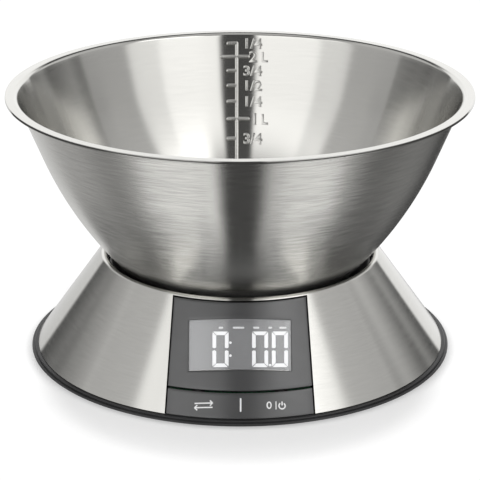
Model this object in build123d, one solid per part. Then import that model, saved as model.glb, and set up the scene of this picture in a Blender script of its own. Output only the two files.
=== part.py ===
from build123d import *
import os
from math import asin, atan, cos, pi, radians, sin, sqrt, tan

# A kitchen scale with a steel mixing bowl. Millimetres; the floor is z = 0, the display faces -Y.

# Running and assembly clearances
RUNNING = 0.05          # a turning peg in its hole, on the radius
HOLE_FIT = 0.1          # a screw in the hole that it passes or grips
SEAM = 0.1              # between pieces that are glued or snapped together
DOOR_GAP = 0.3          # round the battery door
DISH_GAP = 1.0          # between the weighing dish and the cover's turned-in edge
BOWL_GAP = 1.9          # between the bowl and the cover's turned-in edge
STOP_GAP = 0.45         # the load cell's overload stop

# Bowl
SEAT_HEIGHT = 35.6      # the bowl's underside above the floor
BOWL_KNUCKLE = 34.0     # radius of the bend round its floor
BOWL_SHOULDER_ANGLE = 44.16
BOWL_BOW = 189.9        # radius of its bowed wall
BOWL_WALL_ANGLE = 22.04
BOWL_STRAIGHT = 29.9    # height of the straight wall under the rim
BOWL_SHEET = 0.6
RIM_RADIUS = 117.5      # outside of the rim
RIM_FLAT = 3.4          # between the rim's bend and its hem
RIM_BEND = 2.0
HEM_WIDTH = 2.6
HEM_BEND = 0.12
MARKED_LITRES = (0.75, 1.0, 1.25, 1.5, 1.75, 2.0, 2.25)
MARK_RAISE = 0.3
MARK_WIDTH = 1.9
MARK_X = -1.8           # where the upright line of the litre marks stands
MARK_TICK = 5.8         # how far a tick reaches to the left of that line
MARK_LONG_TICK = 6.3    # how far a whole litre's tick reaches to its right
MARK_FULL_TICK = 9.2    # how far the highest whole litre's tick reaches to its left
MARK_TAIL = 6.0         # the line under the lowest mark

# Base, from the floor up
FOOT_LIFT = 1.4
FOOT_RADIUS = 7.0
FOOT_SEAT = 0.8
FOOT_INSET = 17.23      # the feet's circle, inside the steel's lower edge
FLANGE_REACH = 3.2      # the flange's edge, outside the steel's lower edge
FLANGE_WALL = 1.2
FLANGE_ROUND = 0.5
FLOOR_WALL = 1.8
BEAD_REACH = 1.7
BEAD_HEIGHT = 1.0
BEAD_ROUND = 0.35
CONE_INSET = 12.27      # the steel's lower edge, inside the bowl's rim
CONE_ANGLE = 54.9
COVER_SHEET = 0.5
COVER_ROLL = 2.0        # outside radius of its rolled top edge
COVER_LIP = 3.0         # straight part of the turned-in edge
HOUSING_WALL = 2.0
HOUSING_LIP_GAP = 0.5   # between the inner housing and the cover's turned-in edge

# Front panel, measured up the slope from the line between panel and key
KEY_LINE_HEIGHT = 14.6
KEY_LINE_GAP = 0.8
KEY_FOOT_GAP = 0.3
PANEL_WALL = 2.4
PANEL_WIDTH = 71.2
PANEL_TAPER = 3.4
PANEL_TOP_DROP = 0.1
PANEL_CLEARANCE = 0.6
LEDGE_WIDTH = 2.2
LEDGE_WALL = 1.6
CROSSBAR_LOW = 0.9
CROSSBAR_HIGH = 2.0
FRAME_BORDER = 3.5
WINDOW_MARGIN = 11.0    # from the window's ends to the panel's
WINDOW_HEIGHT = 25.0
WINDOW_RISE = 10.9

# Key
KEY_PEG_RADIUS = 0.6
KEY_PEG_REACH = 2.0
KEY_PEG_SINK = 0.75     # how deep the lower peg stands in the bead
SWITCH_INSET = 15.6     # from the panel's ends
SWITCH_RISE = 0.5
SWITCH_GAP = 0.3
SWITCH_BODY = 6.0
SWITCH_BODY_HEIGHT = 3.5
SWITCH_PLUNGER_RADIUS = 1.7

# Display and circuit board
LCD_DEPTH = 6.4         # front of the glass behind the panel's surface
LCD_SIDE = 1.8          # how far the glass reaches past the window's ends
LCD_UNDER = 2.2         # and under its lower edge
LCD_OVER = 3.4          # and over its upper edge
LCD_WALL = 2.2
BACKLIGHT_WALL = 3.4
BACKLIGHT_INSET = 1.4
CONNECTOR_HEIGHT = 1.2
CONNECTOR_INSET = 2.0
BOARD_WALL = 1.6
BOARD_FOOT = -2.6
BOARD_TOP = 40.0
BOARD_POST_INSET = 4.2  # from the panel's ends
BOARD_POST_LOW = 10.4   # above the board's foot
BOARD_POST_HIGH = 4.0   # under the board's top
BOARD_POST_RADIUS = 2.2
BOARD_MARGIN = 2.6      # the board beyond its posts' axes
CHIP_SIZE = 10.0
CHIP_HEIGHT = 1.6
CHIP_RISE = 20.0

# Load cell and what it carries
CELL_LENGTH = 75.0
CELL_SECTION = 12.7
CELL_EYE_RADIUS = 4.4
CELL_EYE_X = 6.5
CELL_SLOT = 4.0
CELL_HOLE_X = (22.5, 32.5)
CELL_HOLE_DEPTH = 9.0
CELL_GRIP = 20.0        # how much of each end is clamped
PEDESTAL_HEIGHT = 2.5
SPACER_WALL = 2.0
GAUGE_LENGTH = 22.0
GAUGE_WALL = 0.8
STOP_RADIUS = 4.0
BRACKET_WALL = 2.5
BRACKET_REACH = 29.0
BRACKET_WIDTH = 42.0
DISH_FLAT_REACH = 13.0  # the dish's flat, beyond the bowl's floor
DISH_RISE = 11.0
DISH_WALL = 2.0
DISH_EDGE = 1.0
DISH_BOSS_X = 22.0
DISH_BOSS_Y = 15.0
DISH_BOSS_RADIUS = 4.0

# Batteries, AAA, in a box moulded to the bottom cover
BATTERY_RADIUS = 5.25
BATTERY_LENGTH = 44.5
BATTERY_NUB_RADIUS = 1.9
BATTERY_NUB = 0.8
BATTERY_PITCH = 12.2
BATTERY_INSET = 41.23   # the box's middle, inside the steel's lower edge
BATTERY_LIFT = 3.75     # under the batteries, above the bottom cover's underside
BATTERY_SPRING = 6.6
BATTERY_AIR = 0.6
BOX_WALL = 1.5
CONTACT_WALL = 0.4
CONTACT_HEIGHT = 9.0
CONTACT_WIDTH = 9.0
COIL_RADIUS = 3.0
COIL_WIRE = 0.35
COIL_TURNS = 4.0
DOOR_LEDGE = 1.9
DOOR_HOOK_X = 14.0
DOOR_HOOK_WIDTH = 6.0
DOOR_HOOK_WALL = 1.2
DOOR_HOOK_LIFT = 0.2
DOOR_HOOK_BITE = 1.3
DOOR_HOOK_ROOT = 2.4
THUMB_RADIUS = 6.0
THUMB_DEPTH = 0.9

# Leads inside the base
LEAD_RADIUS = 0.7
LEAD_BEND = 5.0
LEAD_RISE = 12.0        # where the leads meet the board's back, up the slope
LEAD_STUB = 9.0         # straight part square to the board
SENSOR_LEAD_X = -8.0
SENSOR_LEAD_DROP = 2.0
SENSOR_LEAD_RUN = 24.0
BATTERY_LEAD_X = 44.0   # how far out the battery leads pass the load cell
BATTERY_LEAD_TURN = -46.0
BATTERY_LEAD_PITCH = 3.0
BATTERY_LEAD_LANDING = 18.0
BATTERY_LEAD_DROP = 3.2  # under the batteries' axis

# Screws: head radius, head height, shank radius
COVER_SCREW_HEAD = 3.0
COVER_SCREW_HEAD_HEIGHT = 1.5
COVER_SCREW_SHANK = 1.5
COVER_SCREW_LENGTH = 12.0
COVER_SCREW_INSET = 21.23  # their circle, inside the steel's lower edge
COVER_SCREW_ANGLES = (20.0, 160.0, 215.0, 325.0)
COVER_BOSS_RADIUS = 4.0
COVER_BOSS_HEIGHT = 2.6
COVER_SCREW_SKIN = 1.4  # left under a screw head
CELL_SCREW_HEAD = 3.5
CELL_SCREW_HEAD_HEIGHT = 2.2
CELL_SCREW_SHANK = 2.0
CELL_SCREW_GRIP = 7.0
DISH_SCREW_HEAD = 2.8
DISH_SCREW_HEAD_HEIGHT = 1.6
DISH_SCREW_SHANK = 1.4
DISH_SCREW_GRIP = 5.0
BOARD_SCREW_HEAD = 2.1
BOARD_SCREW_HEAD_HEIGHT = 1.3
BOARD_SCREW_SHANK = 1.0
BOARD_SCREW_GRIP = 2.0

# Radii that follow from the rim's
CONE_RADIUS = RIM_RADIUS - CONE_INSET
BEAD_RADIUS = CONE_RADIUS + BEAD_REACH
FLANGE_RADIUS = CONE_RADIUS + FLANGE_REACH
FOOT_CIRCLE = CONE_RADIUS - FOOT_INSET
COVER_SCREW_CIRCLE = CONE_RADIUS - COVER_SCREW_INSET
BATTERY_Y = CONE_RADIUS - BATTERY_INSET

# Sizes that follow from the panel's
WINDOW_WIDTH = PANEL_WIDTH - 2 * WINDOW_MARGIN
LCD_WIDTH = WINDOW_WIDTH + 2 * LCD_SIDE
LCD_HEIGHT = WINDOW_HEIGHT + LCD_UNDER + LCD_OVER
LCD_RISE = WINDOW_RISE - LCD_UNDER
SWITCH_X = PANEL_WIDTH / 2 - SWITCH_INSET
BOARD_POST_X = PANEL_WIDTH / 2 - BOARD_POST_INSET
BOARD_POST_RISES = (BOARD_FOOT + BOARD_POST_LOW, BOARD_TOP - BOARD_POST_HIGH)
BOARD_WIDTH = 2 * (BOARD_POST_X + BOARD_MARGIN)

# Heights that follow from the sizes above
COVER_FLOOR_TOP = FOOT_LIFT + FLOOR_WALL
BEAD_FOOT = FOOT_LIFT + FLANGE_WALL
STEEL_FOOT = BEAD_FOOT + BEAD_HEIGHT
PEDESTAL_TOP = COVER_FLOOR_TOP + PEDESTAL_HEIGHT
CELL_FOOT = PEDESTAL_TOP + SPACER_WALL
CELL_TOP = CELL_FOOT + CELL_SECTION
BRACKET_FOOT = CELL_TOP + SPACER_WALL
BRACKET_TOP = BRACKET_FOOT + BRACKET_WALL
DISH_FOOT = SEAT_HEIGHT - DISH_WALL
KEY_TOP = KEY_LINE_HEIGHT - KEY_LINE_GAP / 2
KEY_FOOT = STEEL_FOOT + KEY_FOOT_GAP
PANEL_FOOT = KEY_LINE_HEIGHT + KEY_LINE_GAP / 2
BOARD_DEPTH = LCD_DEPTH + LCD_WALL + BACKLIGHT_WALL
BATTERY_AXIS = FOOT_LIFT + BATTERY_LIFT + BATTERY_RADIUS

# The slope of the cone: up along it, and out of it
SLOPE_SIN = sin(radians(CONE_ANGLE))
SLOPE_COS = cos(radians(CONE_ANGLE))
HOUSING_DEPTH = COVER_SHEET + SEAM
LEDGE_DEPTH = PANEL_WALL + SEAM
CUT_REACH = 40.0        # longer than any cut that it is used for
CUBIC_MM_PER_LITRE = 1e6
FILL_STEP = 0.05        # height of the slices that a fill is added up from
LIP_ROUNDS = 40         # tries in which the cover's edge settles against the bowl


def cone_radius(height, depth=0.0):
    """Radius of the cone's surface, or of one that lies depth under it, at a height."""
    return CONE_RADIUS - (depth + SLOPE_COS * (height - STEEL_FOOT)) / SLOPE_SIN


def straight_rise():
    """Height of the bowl's straight wall up to where the rim's bend starts."""
    return BOWL_STRAIGHT - BOWL_SHEET - RIM_BEND * (1 - sin(radians(BOWL_WALL_ANGLE)))


def bowl_floor_radius():
    """Radius of the bowl's flat floor: what its wall and its rim leave of the rim's radius."""
    lean = radians(90 - BOWL_SHOULDER_ANGLE)
    steep = radians(90 - BOWL_WALL_ANGLE)
    wall = BOWL_KNUCKLE * sin(lean) + BOWL_BOW * (sin(steep) - sin(lean)) + straight_rise() / tan(steep)
    return RIM_RADIUS - wall - RIM_BEND * sin(steep) - RIM_FLAT - HEM_BEND - BOWL_SHEET


def bow_top():
    """Height where the bowl's bowed wall ends and its straight wall starts."""
    lean = radians(90 - BOWL_SHOULDER_ANGLE)
    steep = radians(90 - BOWL_WALL_ANGLE)
    return SEAT_HEIGHT + BOWL_KNUCKLE * (1 - cos(lean)) + BOWL_BOW * (cos(lean) - cos(steep))


def bowl_radius(height, inset=0.0):
    """Outside radius of the bowl at a height, or the radius of a surface inset from it."""
    lean = radians(90 - BOWL_SHOULDER_ANGLE)
    steep = radians(90 - BOWL_WALL_ANGLE)
    knuckle = BOWL_KNUCKLE - inset
    bow = BOWL_BOW - inset
    knuckle_centre = SEAT_HEIGHT + BOWL_KNUCKLE
    bow_centre_r = BOWL_FLOOR_RADIUS - (BOWL_BOW - BOWL_KNUCKLE) * sin(lean)
    bow_centre = knuckle_centre + (BOWL_BOW - BOWL_KNUCKLE) * cos(lean)
    if height < knuckle_centre - knuckle * cos(lean):
        drop = min(knuckle, knuckle_centre - height)
        return BOWL_FLOOR_RADIUS + sqrt(knuckle**2 - drop**2)
    if height < bow_centre - bow * cos(steep):
        return bow_centre_r + sqrt(bow**2 - (bow_centre - height) ** 2)
    straight_r = bow_centre_r + BOWL_BOW * sin(steep)
    return straight_r + ((height - bow_top()) * cos(steep) - inset) / sin(steep)


def fill_height(litres):
    """Height of the liquid's surface when the bowl holds this much."""
    held = 0.0
    level = SEAT_HEIGHT + BOWL_SHEET
    while held < litres * CUBIC_MM_PER_LITRE:
        held += pi * bowl_radius(level + FILL_STEP / 2, BOWL_SHEET) ** 2 * FILL_STEP
        level += FILL_STEP
    return level


def lip_radius():
    """Radius of the cover's turned-in edge: it keeps the bowl's gap at the height of the roll."""
    radius = bowl_radius(SEAT_HEIGHT + BOWL_KNUCKLE / 2) + BOWL_GAP
    for _ in range(LIP_ROUNDS):
        wanted = bowl_radius(roll_centre(radius)[1] + COVER_ROLL) + BOWL_GAP
        radius = (radius + wanted) / 2
    return radius


def roll_centre(radius):
    """Centre of the rolled edge, as radius and height, for a turned-in edge at a radius."""
    centre_r = radius + COVER_ROLL
    rise = (SLOPE_SIN * (CONE_RADIUS - centre_r) - COVER_ROLL) / SLOPE_COS
    return centre_r, STEEL_FOOT + rise


BOWL_FLOOR_RADIUS = bowl_floor_radius()
DISH_FLAT_RADIUS = BOWL_FLOOR_RADIUS + DISH_FLAT_REACH
LIP_RADIUS = lip_radius()
ROLL_RADIUS, ROLL_HEIGHT = roll_centre(LIP_RADIUS)
SLOPE_TOP = ROLL_HEIGHT + COVER_ROLL * SLOPE_COS
PANEL_TOP = SLOPE_TOP - PANEL_TOP_DROP
LIP_FOOT = ROLL_HEIGHT - COVER_LIP
DISH_RADIUS = LIP_RADIUS - DISH_GAP

# The panel's own frame: x to the right, y up the slope, z out of it
FRONT = Plane(
    origin=(0, -cone_radius(KEY_LINE_HEIGHT), KEY_LINE_HEIGHT),
    x_dir=(1, 0, 0),
    z_dir=(0, -SLOPE_SIN, SLOPE_COS),
)


def turned(points):
    """A solid turned about the scale's axis from radius and height points."""
    return revolve(make_face(Plane.XZ * Polyline(*points, close=True)), Axis.Z)


def sheet(path, inset, wall):
    """A turned sheet: its near face lies inset to the left of the path, its far face a wall on."""
    near = Wire(path)
    if inset:
        near = near.offset_2d(inset, side=Side.LEFT, closed=False)
    return revolve(Plane.XZ * make_face(near.offset_2d(wall, side=Side.LEFT)), Axis.Z)


def cone_core(depth, low, high):
    """The solid cone inside a surface that lies depth under the steel's outside."""
    return turned([(0, low), (cone_radius(low, depth), low), (cone_radius(high, depth), high), (0, high)])


def cone_band(depth, wall, low, high):
    """A conical band of a wall's thickness, its outside depth under the steel's outside."""
    outer = [(cone_radius(z, depth), z) for z in (low, high)]
    inner = [(cone_radius(z, depth + wall), z) for z in (high, low)]
    return turned(outer + inner)


def front_prism(margin):
    """A tall prism through the front with the panel's tapered sides, moved out by a margin."""
    lean = tan(radians(PANEL_TAPER))
    low, high = -CUT_REACH, 2 * CUT_REACH
    corners = [(PANEL_WIDTH / 2 + margin - lean * v, v) for v in (low, high)]
    corners += [(-x, v) for x, v in reversed(corners)]
    return extrude(FRONT * make_face(Polyline(*corners, close=True)), CUT_REACH, both=True)


def front_box(x, rise, depth, width, height, wall):
    """A box behind the panel: its near face at a depth, its lower edge at a rise up the slope."""
    return FRONT * Pos(x, rise + height / 2, -depth - wall / 2) * Box(width, height, wall)


def front_rod(x, rise, depth, length, radius):
    """A round rod square to the panel, from a depth inwards."""
    return FRONT * Pos(x, rise, -depth - length / 2) * Cylinder(radius, length)


def upright(x, y, low, high, radius):
    """A vertical rod."""
    return Pos(x, y, (low + high) / 2) * Cylinder(radius, high - low)


def lying(x, y, z, radius, length):
    """A rod that lies along x, by its middle."""
    return Pos(x, y, z) * Rot(0, 90, 0) * Cylinder(radius, length)


def block(x, y, low, high, width, depth):
    """A box that stands upright on a height."""
    return Pos(x, y, (low + high) / 2) * Box(width, depth, high - low)


def corners_of(x, y):
    """The four places at plus and minus x and y."""
    return [(sx * x, sy * y) for sx in (-1, 1) for sy in (-1, 1)]


def on_circle(radius, angles):
    """Places on a circle about the axis."""
    return [(radius * cos(radians(a)), radius * sin(radians(a))) for a in angles]


def joined(pieces):
    """All the pieces as one shape."""
    pieces = list(pieces)
    return pieces[0] if len(pieces) == 1 else pieces[0].fuse(*pieces[1:])


def bowl_wall():
    """The outside of the bowl from its axis to where the straight wall meets the rim's bend."""
    floor = Line((0, SEAT_HEIGHT), (BOWL_FLOOR_RADIUS, SEAT_HEIGHT))
    knuckle = JernArc(floor @ 1, floor % 1, BOWL_KNUCKLE, 90 - BOWL_SHOULDER_ANGLE)
    bow = JernArc(knuckle @ 1, knuckle % 1, BOWL_BOW, BOWL_SHOULDER_ANGLE - BOWL_WALL_ANGLE)
    rise = straight_rise()
    run = rise / tan(radians(90 - BOWL_WALL_ANGLE))
    straight = Line(bow @ 1, (bow @ 1) + Vector(run, rise))
    return [floor, knuckle, bow, straight]


def bowl():
    """The pressed bowl with its flat rim, hemmed edge and raised litre marks."""
    path = bowl_wall()
    bend = JernArc(path[-1] @ 1, path[-1] % 1, RIM_BEND, BOWL_WALL_ANGLE - 90)
    flat = Line(bend @ 1, (bend @ 1) + Vector(RIM_FLAT, 0))
    hem = JernArc(flat @ 1, flat % 1, HEM_BEND, -180)
    fold = Line(hem @ 1, (hem @ 1) - Vector(HEM_WIDTH, 0))
    shell = sheet(path + [bend, flat, hem, fold], 0, BOWL_SHEET)
    marks = sheet(path[1:], BOWL_SHEET / 2, BOWL_SHEET / 2 + MARK_RAISE) & litre_marks()
    return joined([shell, *marks.solids()])


def litre_marks():
    """Upright slices where the bowl's back wall is raised: one line and a tick for each mark."""
    levels = [fill_height(litres) for litres in MARKED_LITRES]
    full = max(litres for litres in MARKED_LITRES if litres == int(litres))
    top = max(levels) + MARK_WIDTH / 2
    slices = [block(MARK_X, BOWL_BOW / 2, min(levels) - MARK_TAIL, top, MARK_WIDTH, BOWL_BOW)]
    for litres, level in zip(MARKED_LITRES, levels):
        right = MARK_X + (MARK_LONG_TICK if litres == int(litres) else 0)
        left = MARK_X - (MARK_FULL_TICK if litres == full else MARK_TICK)
        low, high = level - MARK_WIDTH / 2, level + MARK_WIDTH / 2
        slices.append(block((left + right) / 2, BOWL_BOW / 2, low, high, right - left, BOWL_BOW))
    return joined(slices)


def steel_cover():
    """The steel cone with its rolled top, notched at the front for the panel and the key."""
    foot_edge = STEEL_FOOT + COVER_SHEET * SLOPE_COS
    slope = Line((cone_radius(foot_edge), foot_edge), (cone_radius(SLOPE_TOP), SLOPE_TOP))
    roll = JernArc(slope @ 1, slope % 1, COVER_ROLL, 90 + CONE_ANGLE)
    lip = Line(roll @ 1, (roll @ 1) - Vector(0, COVER_LIP))
    skin = sheet([slope, roll, lip], 0, COVER_SHEET)
    notch = front_prism(0) & cone_band(-COVER_ROLL, 2 * COVER_ROLL, 0, PANEL_TOP)
    return skin - notch


def housing_top():
    """Height where the panel's ledge still passes behind the cover's turned-in edge."""
    room = CONE_RADIUS - (LIP_RADIUS + COVER_SHEET + HOUSING_LIP_GAP)
    return STEEL_FOOT + (SLOPE_SIN * room - LEDGE_DEPTH - LEDGE_WALL) / SLOPE_COS


def inner_housing():
    """The plastic cone under the steel: foot bead, panel ledge, posts for the board and the screws."""
    top = housing_top()
    inside = HOUSING_DEPTH + HOUSING_WALL
    shell = turned([
        (cone_radius(top, HOUSING_DEPTH), top),
        (cone_radius(STEEL_FOOT, HOUSING_DEPTH), STEEL_FOOT),
        (BEAD_RADIUS - BEAD_ROUND, STEEL_FOOT),
        (BEAD_RADIUS, STEEL_FOOT - BEAD_ROUND),
        (BEAD_RADIUS, BEAD_FOOT),
        (cone_radius(BEAD_FOOT, inside), BEAD_FOOT),
        (cone_radius(top, inside), top),
    ])
    ledge = cone_band(LEDGE_DEPTH, LEDGE_WALL, KEY_LINE_HEIGHT + CROSSBAR_LOW, top)
    shell += ledge & front_prism(FRAME_BORDER)
    pocket = cone_band(-CUT_REACH, CUT_REACH + LEDGE_DEPTH, STEEL_FOOT, PANEL_TOP + PANEL_CLEARANCE)
    window = cone_band(-CUT_REACH, 2 * CUT_REACH, KEY_LINE_HEIGHT + CROSSBAR_HIGH, top - LEDGE_WIDTH)
    key_hole = cone_band(-CUT_REACH, 2 * CUT_REACH, STEEL_FOOT, KEY_LINE_HEIGHT + CROSSBAR_LOW)
    shell -= pocket & front_prism(PANEL_CLEARANCE)
    shell -= window & front_prism(-LEDGE_WIDTH)
    shell -= key_hole & front_prism(PANEL_CLEARANCE)
    posts = [
        front_rod(x, rise, 0, BOARD_DEPTH, BOARD_POST_RADIUS)
        for x in (-BOARD_POST_X, BOARD_POST_X)
        for rise in BOARD_POST_RISES
    ]
    shell += joined(posts) & cone_core(LEDGE_DEPTH + SEAM, STEEL_FOOT, top)
    boss_foot = COVER_FLOOR_TOP + COVER_BOSS_HEIGHT
    bosses = [
        upright(x, y, boss_foot, top, COVER_BOSS_RADIUS)
        for x, y in on_circle(COVER_SCREW_CIRCLE, COVER_SCREW_ANGLES)
    ]
    shell += joined(bosses) & cone_core(HOUSING_DEPTH + HOUSING_WALL / 2, BEAD_FOOT, top)
    shell -= screw_holes()
    return shell - key_peg_axis(KEY_PEG_RADIUS + RUNNING, *lower_peg_span())


def screw_holes():
    """The holes that the housing's screws grip: those of the board and those of the bottom cover."""
    start = BOARD_DEPTH - BOARD_SCREW_GRIP - HOLE_FIT
    holes = [
        front_rod(x, rise, start, CUT_REACH, BOARD_SCREW_SHANK + HOLE_FIT)
        for x in (-BOARD_POST_X, BOARD_POST_X)
        for rise in BOARD_POST_RISES
    ]
    low = cover_screw_head_top()
    holes += [
        upright(x, y, low, low + COVER_SCREW_LENGTH + HOLE_FIT, COVER_SCREW_SHANK + HOLE_FIT)
        for x, y in on_circle(COVER_SCREW_CIRCLE, COVER_SCREW_ANGLES)
    ]
    return joined(holes)


def key_peg_axis(radius, low, high):
    """A rod on the key's rocking axis, between two distances up the slope."""
    return FRONT * Pos(0, (low + high) / 2, -PANEL_WALL / 2) * Rot(90, 0, 0) * Cylinder(radius, high - low)


def peg_rise(height):
    """How far up the slope the rocking axis passes a height."""
    return (height - KEY_LINE_HEIGHT + SLOPE_COS * PANEL_WALL / 2) / SLOPE_SIN


def lower_peg_span():
    """Where the lower peg stands: from inside the bead to inside the key."""
    return peg_rise(STEEL_FOOT - KEY_PEG_SINK), peg_rise(KEY_FOOT) + KEY_PEG_REACH


def upper_peg_span():
    """Where the upper peg stands: from inside the key to inside the panel."""
    return peg_rise(KEY_TOP) - KEY_PEG_REACH, peg_rise(PANEL_FOOT) + KEY_PEG_REACH


def key_bar():
    """The rocking key: a strip of the cone on two pegs."""
    bar = cone_band(0, PANEL_WALL, KEY_FOOT, KEY_TOP) & front_prism(-PANEL_CLEARANCE)
    pegs = [key_peg_axis(KEY_PEG_RADIUS, *span) for span in (lower_peg_span(), upper_peg_span())]
    return joined([bar, *pegs])


def front_panel():
    """The dark panel with the opening for the window and the hole for the key's upper peg."""
    plate = cone_band(0, PANEL_WALL, PANEL_FOOT, PANEL_TOP - PANEL_CLEARANCE)
    plate &= front_prism(-PANEL_CLEARANCE)
    low, high = upper_peg_span()
    plate -= key_peg_axis(KEY_PEG_RADIUS + RUNNING, low, high + SEAM)
    return plate - window_prism(0)


def window_prism(inset):
    """A prism with the window's outline, drawn in by an inset."""
    width, height = WINDOW_WIDTH - 2 * inset, WINDOW_HEIGHT - 2 * inset
    return FRONT * Pos(0, WINDOW_RISE + WINDOW_HEIGHT / 2, 0) * Box(width, height, 2 * CUT_REACH)


def display_window():
    """The clear window, flush with the panel."""
    return cone_band(0, PANEL_WALL, PANEL_FOOT, PANEL_TOP - PANEL_CLEARANCE) & window_prism(SEAM)


def lcd_glass():
    """The display's glass."""
    return front_box(0, LCD_RISE, LCD_DEPTH, LCD_WIDTH, LCD_HEIGHT, LCD_WALL)


def backlight():
    """The light guide between the glass and the board."""
    height = LCD_HEIGHT - BACKLIGHT_INSET
    return front_box(0, LCD_RISE + BACKLIGHT_INSET, LCD_DEPTH + LCD_WALL, LCD_WIDTH, height, BACKLIGHT_WALL)


def lcd_connector():
    """The rubber strip that joins the glass to the board."""
    width = LCD_WIDTH - 2 * CONNECTOR_INSET
    return front_box(0, LCD_RISE, LCD_DEPTH + LCD_WALL, width, CONNECTOR_HEIGHT, BACKLIGHT_WALL)


def circuit_board():
    """The board behind the display and the key."""
    board = front_box(0, BOARD_FOOT, BOARD_DEPTH, BOARD_WIDTH, BOARD_TOP - BOARD_FOOT, BOARD_WALL)
    return board - screw_holes()


def circuit_chip():
    """The measuring chip on the back of the board."""
    low = CHIP_RISE - CHIP_SIZE / 2
    return front_box(0, low, BOARD_DEPTH + BOARD_WALL, CHIP_SIZE, CHIP_SIZE, CHIP_HEIGHT)


def key_switch(x):
    """A push switch on the board, its plunger just short of the key's back."""
    radius = cone_radius(KEY_LINE_HEIGHT) - SLOPE_COS * SWITCH_RISE
    sag = radius - sqrt(radius**2 - (SWITCH_X + SWITCH_PLUNGER_RADIUS) ** 2)
    back = PANEL_WALL / cos(asin(SWITCH_X / radius)) + SLOPE_SIN * sag
    top = back + SWITCH_GAP
    body = front_box(
        x, SWITCH_RISE - SWITCH_BODY / 2, BOARD_DEPTH - SWITCH_BODY_HEIGHT,
        SWITCH_BODY, SWITCH_BODY, SWITCH_BODY_HEIGHT,
    )
    return body + front_rod(x, SWITCH_RISE, top, BOARD_DEPTH - top, SWITCH_PLUNGER_RADIUS)


def board_screws():
    """The screws that hold the board to the housing's posts."""
    back = BOARD_DEPTH + BOARD_WALL
    screws = []
    for x in (-BOARD_POST_X, BOARD_POST_X):
        for rise in BOARD_POST_RISES:
            head = front_rod(x, rise, back, BOARD_SCREW_HEAD_HEIGHT, BOARD_SCREW_HEAD)
            start = BOARD_DEPTH - BOARD_SCREW_GRIP
            shank = front_rod(x, rise, start, back - start, BOARD_SCREW_SHANK)
            screws.append(head + shank)
    return screws


def cover_screw_head_top():
    """Height where the bottom cover's screw heads bear."""
    return COVER_FLOOR_TOP + COVER_BOSS_HEIGHT - COVER_SCREW_SKIN


def cover_screws():
    """The screws from below that hold the bottom cover to the housing."""
    seat = cover_screw_head_top()
    return [
        upright(x, y, seat - COVER_SCREW_HEAD_HEIGHT, seat, COVER_SCREW_HEAD)
        + upright(x, y, seat, seat + COVER_SCREW_LENGTH, COVER_SCREW_SHANK)
        for x, y in on_circle(COVER_SCREW_CIRCLE, COVER_SCREW_ANGLES)
    ]


def box_half_length():
    """Half the inside length of the battery box."""
    return (BATTERY_LENGTH + BATTERY_SPRING) / 2 + CONTACT_WALL


def box_half_width():
    """Half the inside width of the battery box."""
    return BATTERY_PITCH / 2 + BATTERY_RADIUS + BATTERY_AIR + DOOR_LEDGE


def box_top():
    """Inside height of the battery box."""
    return BATTERY_AXIS + BATTERY_RADIUS + BATTERY_AIR


def door_half_length():
    """Half the length of the opening for the battery door."""
    return box_half_length() - DOOR_LEDGE


def door_half_width():
    """Half the width of the opening for the battery door."""
    return box_half_width() - DOOR_LEDGE


def foot_places():
    """Where the four feet stand."""
    return on_circle(FOOT_CIRCLE, (45.0, 135.0, 225.0, 315.0))


def bottom_cover():
    """The tray: flange, floor, battery box, load cell pedestal, overload stop and screw bosses."""
    floor_radius = cone_radius(COVER_FLOOR_TOP, HOUSING_DEPTH + HOUSING_WALL) - SEAM
    tray = turned([
        (0, FOOT_LIFT),
        (FLANGE_RADIUS - FLANGE_ROUND, FOOT_LIFT),
        (FLANGE_RADIUS, FOOT_LIFT + FLANGE_ROUND),
        (FLANGE_RADIUS, BEAD_FOOT - FLANGE_ROUND),
        (FLANGE_RADIUS - FLANGE_ROUND, BEAD_FOOT),
        (floor_radius, BEAD_FOOT),
        (floor_radius, COVER_FLOOR_TOP),
        (0, COVER_FLOOR_TOP),
    ])
    length, width = 2 * box_half_length(), 2 * box_half_width()
    tray += block(0, BATTERY_Y, FOOT_LIFT, box_top() + BOX_WALL, length + 2 * BOX_WALL, width + 2 * BOX_WALL)
    grip_x = -(CELL_LENGTH - CELL_GRIP) / 2
    tray += block(grip_x, 0, FOOT_LIFT, PEDESTAL_TOP, CELL_GRIP, CELL_SECTION + 2 * BOX_WALL)
    tray += upright(-grip_x, 0, FOOT_LIFT, CELL_FOOT - STOP_GAP, STOP_RADIUS)
    screws = on_circle(COVER_SCREW_CIRCLE, COVER_SCREW_ANGLES)
    boss_top = COVER_FLOOR_TOP + COVER_BOSS_HEIGHT
    tray += joined(upright(x, y, FOOT_LIFT, boss_top, COVER_BOSS_RADIUS + BOX_WALL) for x, y in screws)
    tray -= block(0, BATTERY_Y, COVER_FLOOR_TOP, box_top(), length, width)
    tray -= block(0, BATTERY_Y, 0, COVER_FLOOR_TOP, 2 * door_half_length(), 2 * door_half_width())
    tray -= thumb_notch()
    for side in (-1, 1):
        tray -= lying(*battery_lead_start(side), LEAD_RADIUS + HOLE_FIT, 4 * BOX_WALL)
    feet = [upright(x, y, 0, FOOT_LIFT + FOOT_SEAT, FOOT_RADIUS + SEAM) for x, y in foot_places()]
    heads = [upright(x, y, 0, cover_screw_head_top(), COVER_SCREW_HEAD + HOLE_FIT) for x, y in screws]
    shanks = [upright(x, y, 0, boss_top, COVER_SCREW_SHANK + HOLE_FIT) for x, y in screws]
    for x in CELL_HOLE_X:
        heads.append(upright(-x, 0, 0, FOOT_LIFT + CELL_SCREW_HEAD_HEIGHT, CELL_SCREW_HEAD + HOLE_FIT))
        shanks.append(upright(-x, 0, 0, PEDESTAL_TOP, CELL_SCREW_SHANK + HOLE_FIT))
    return tray - joined(feet + heads + shanks)


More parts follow.
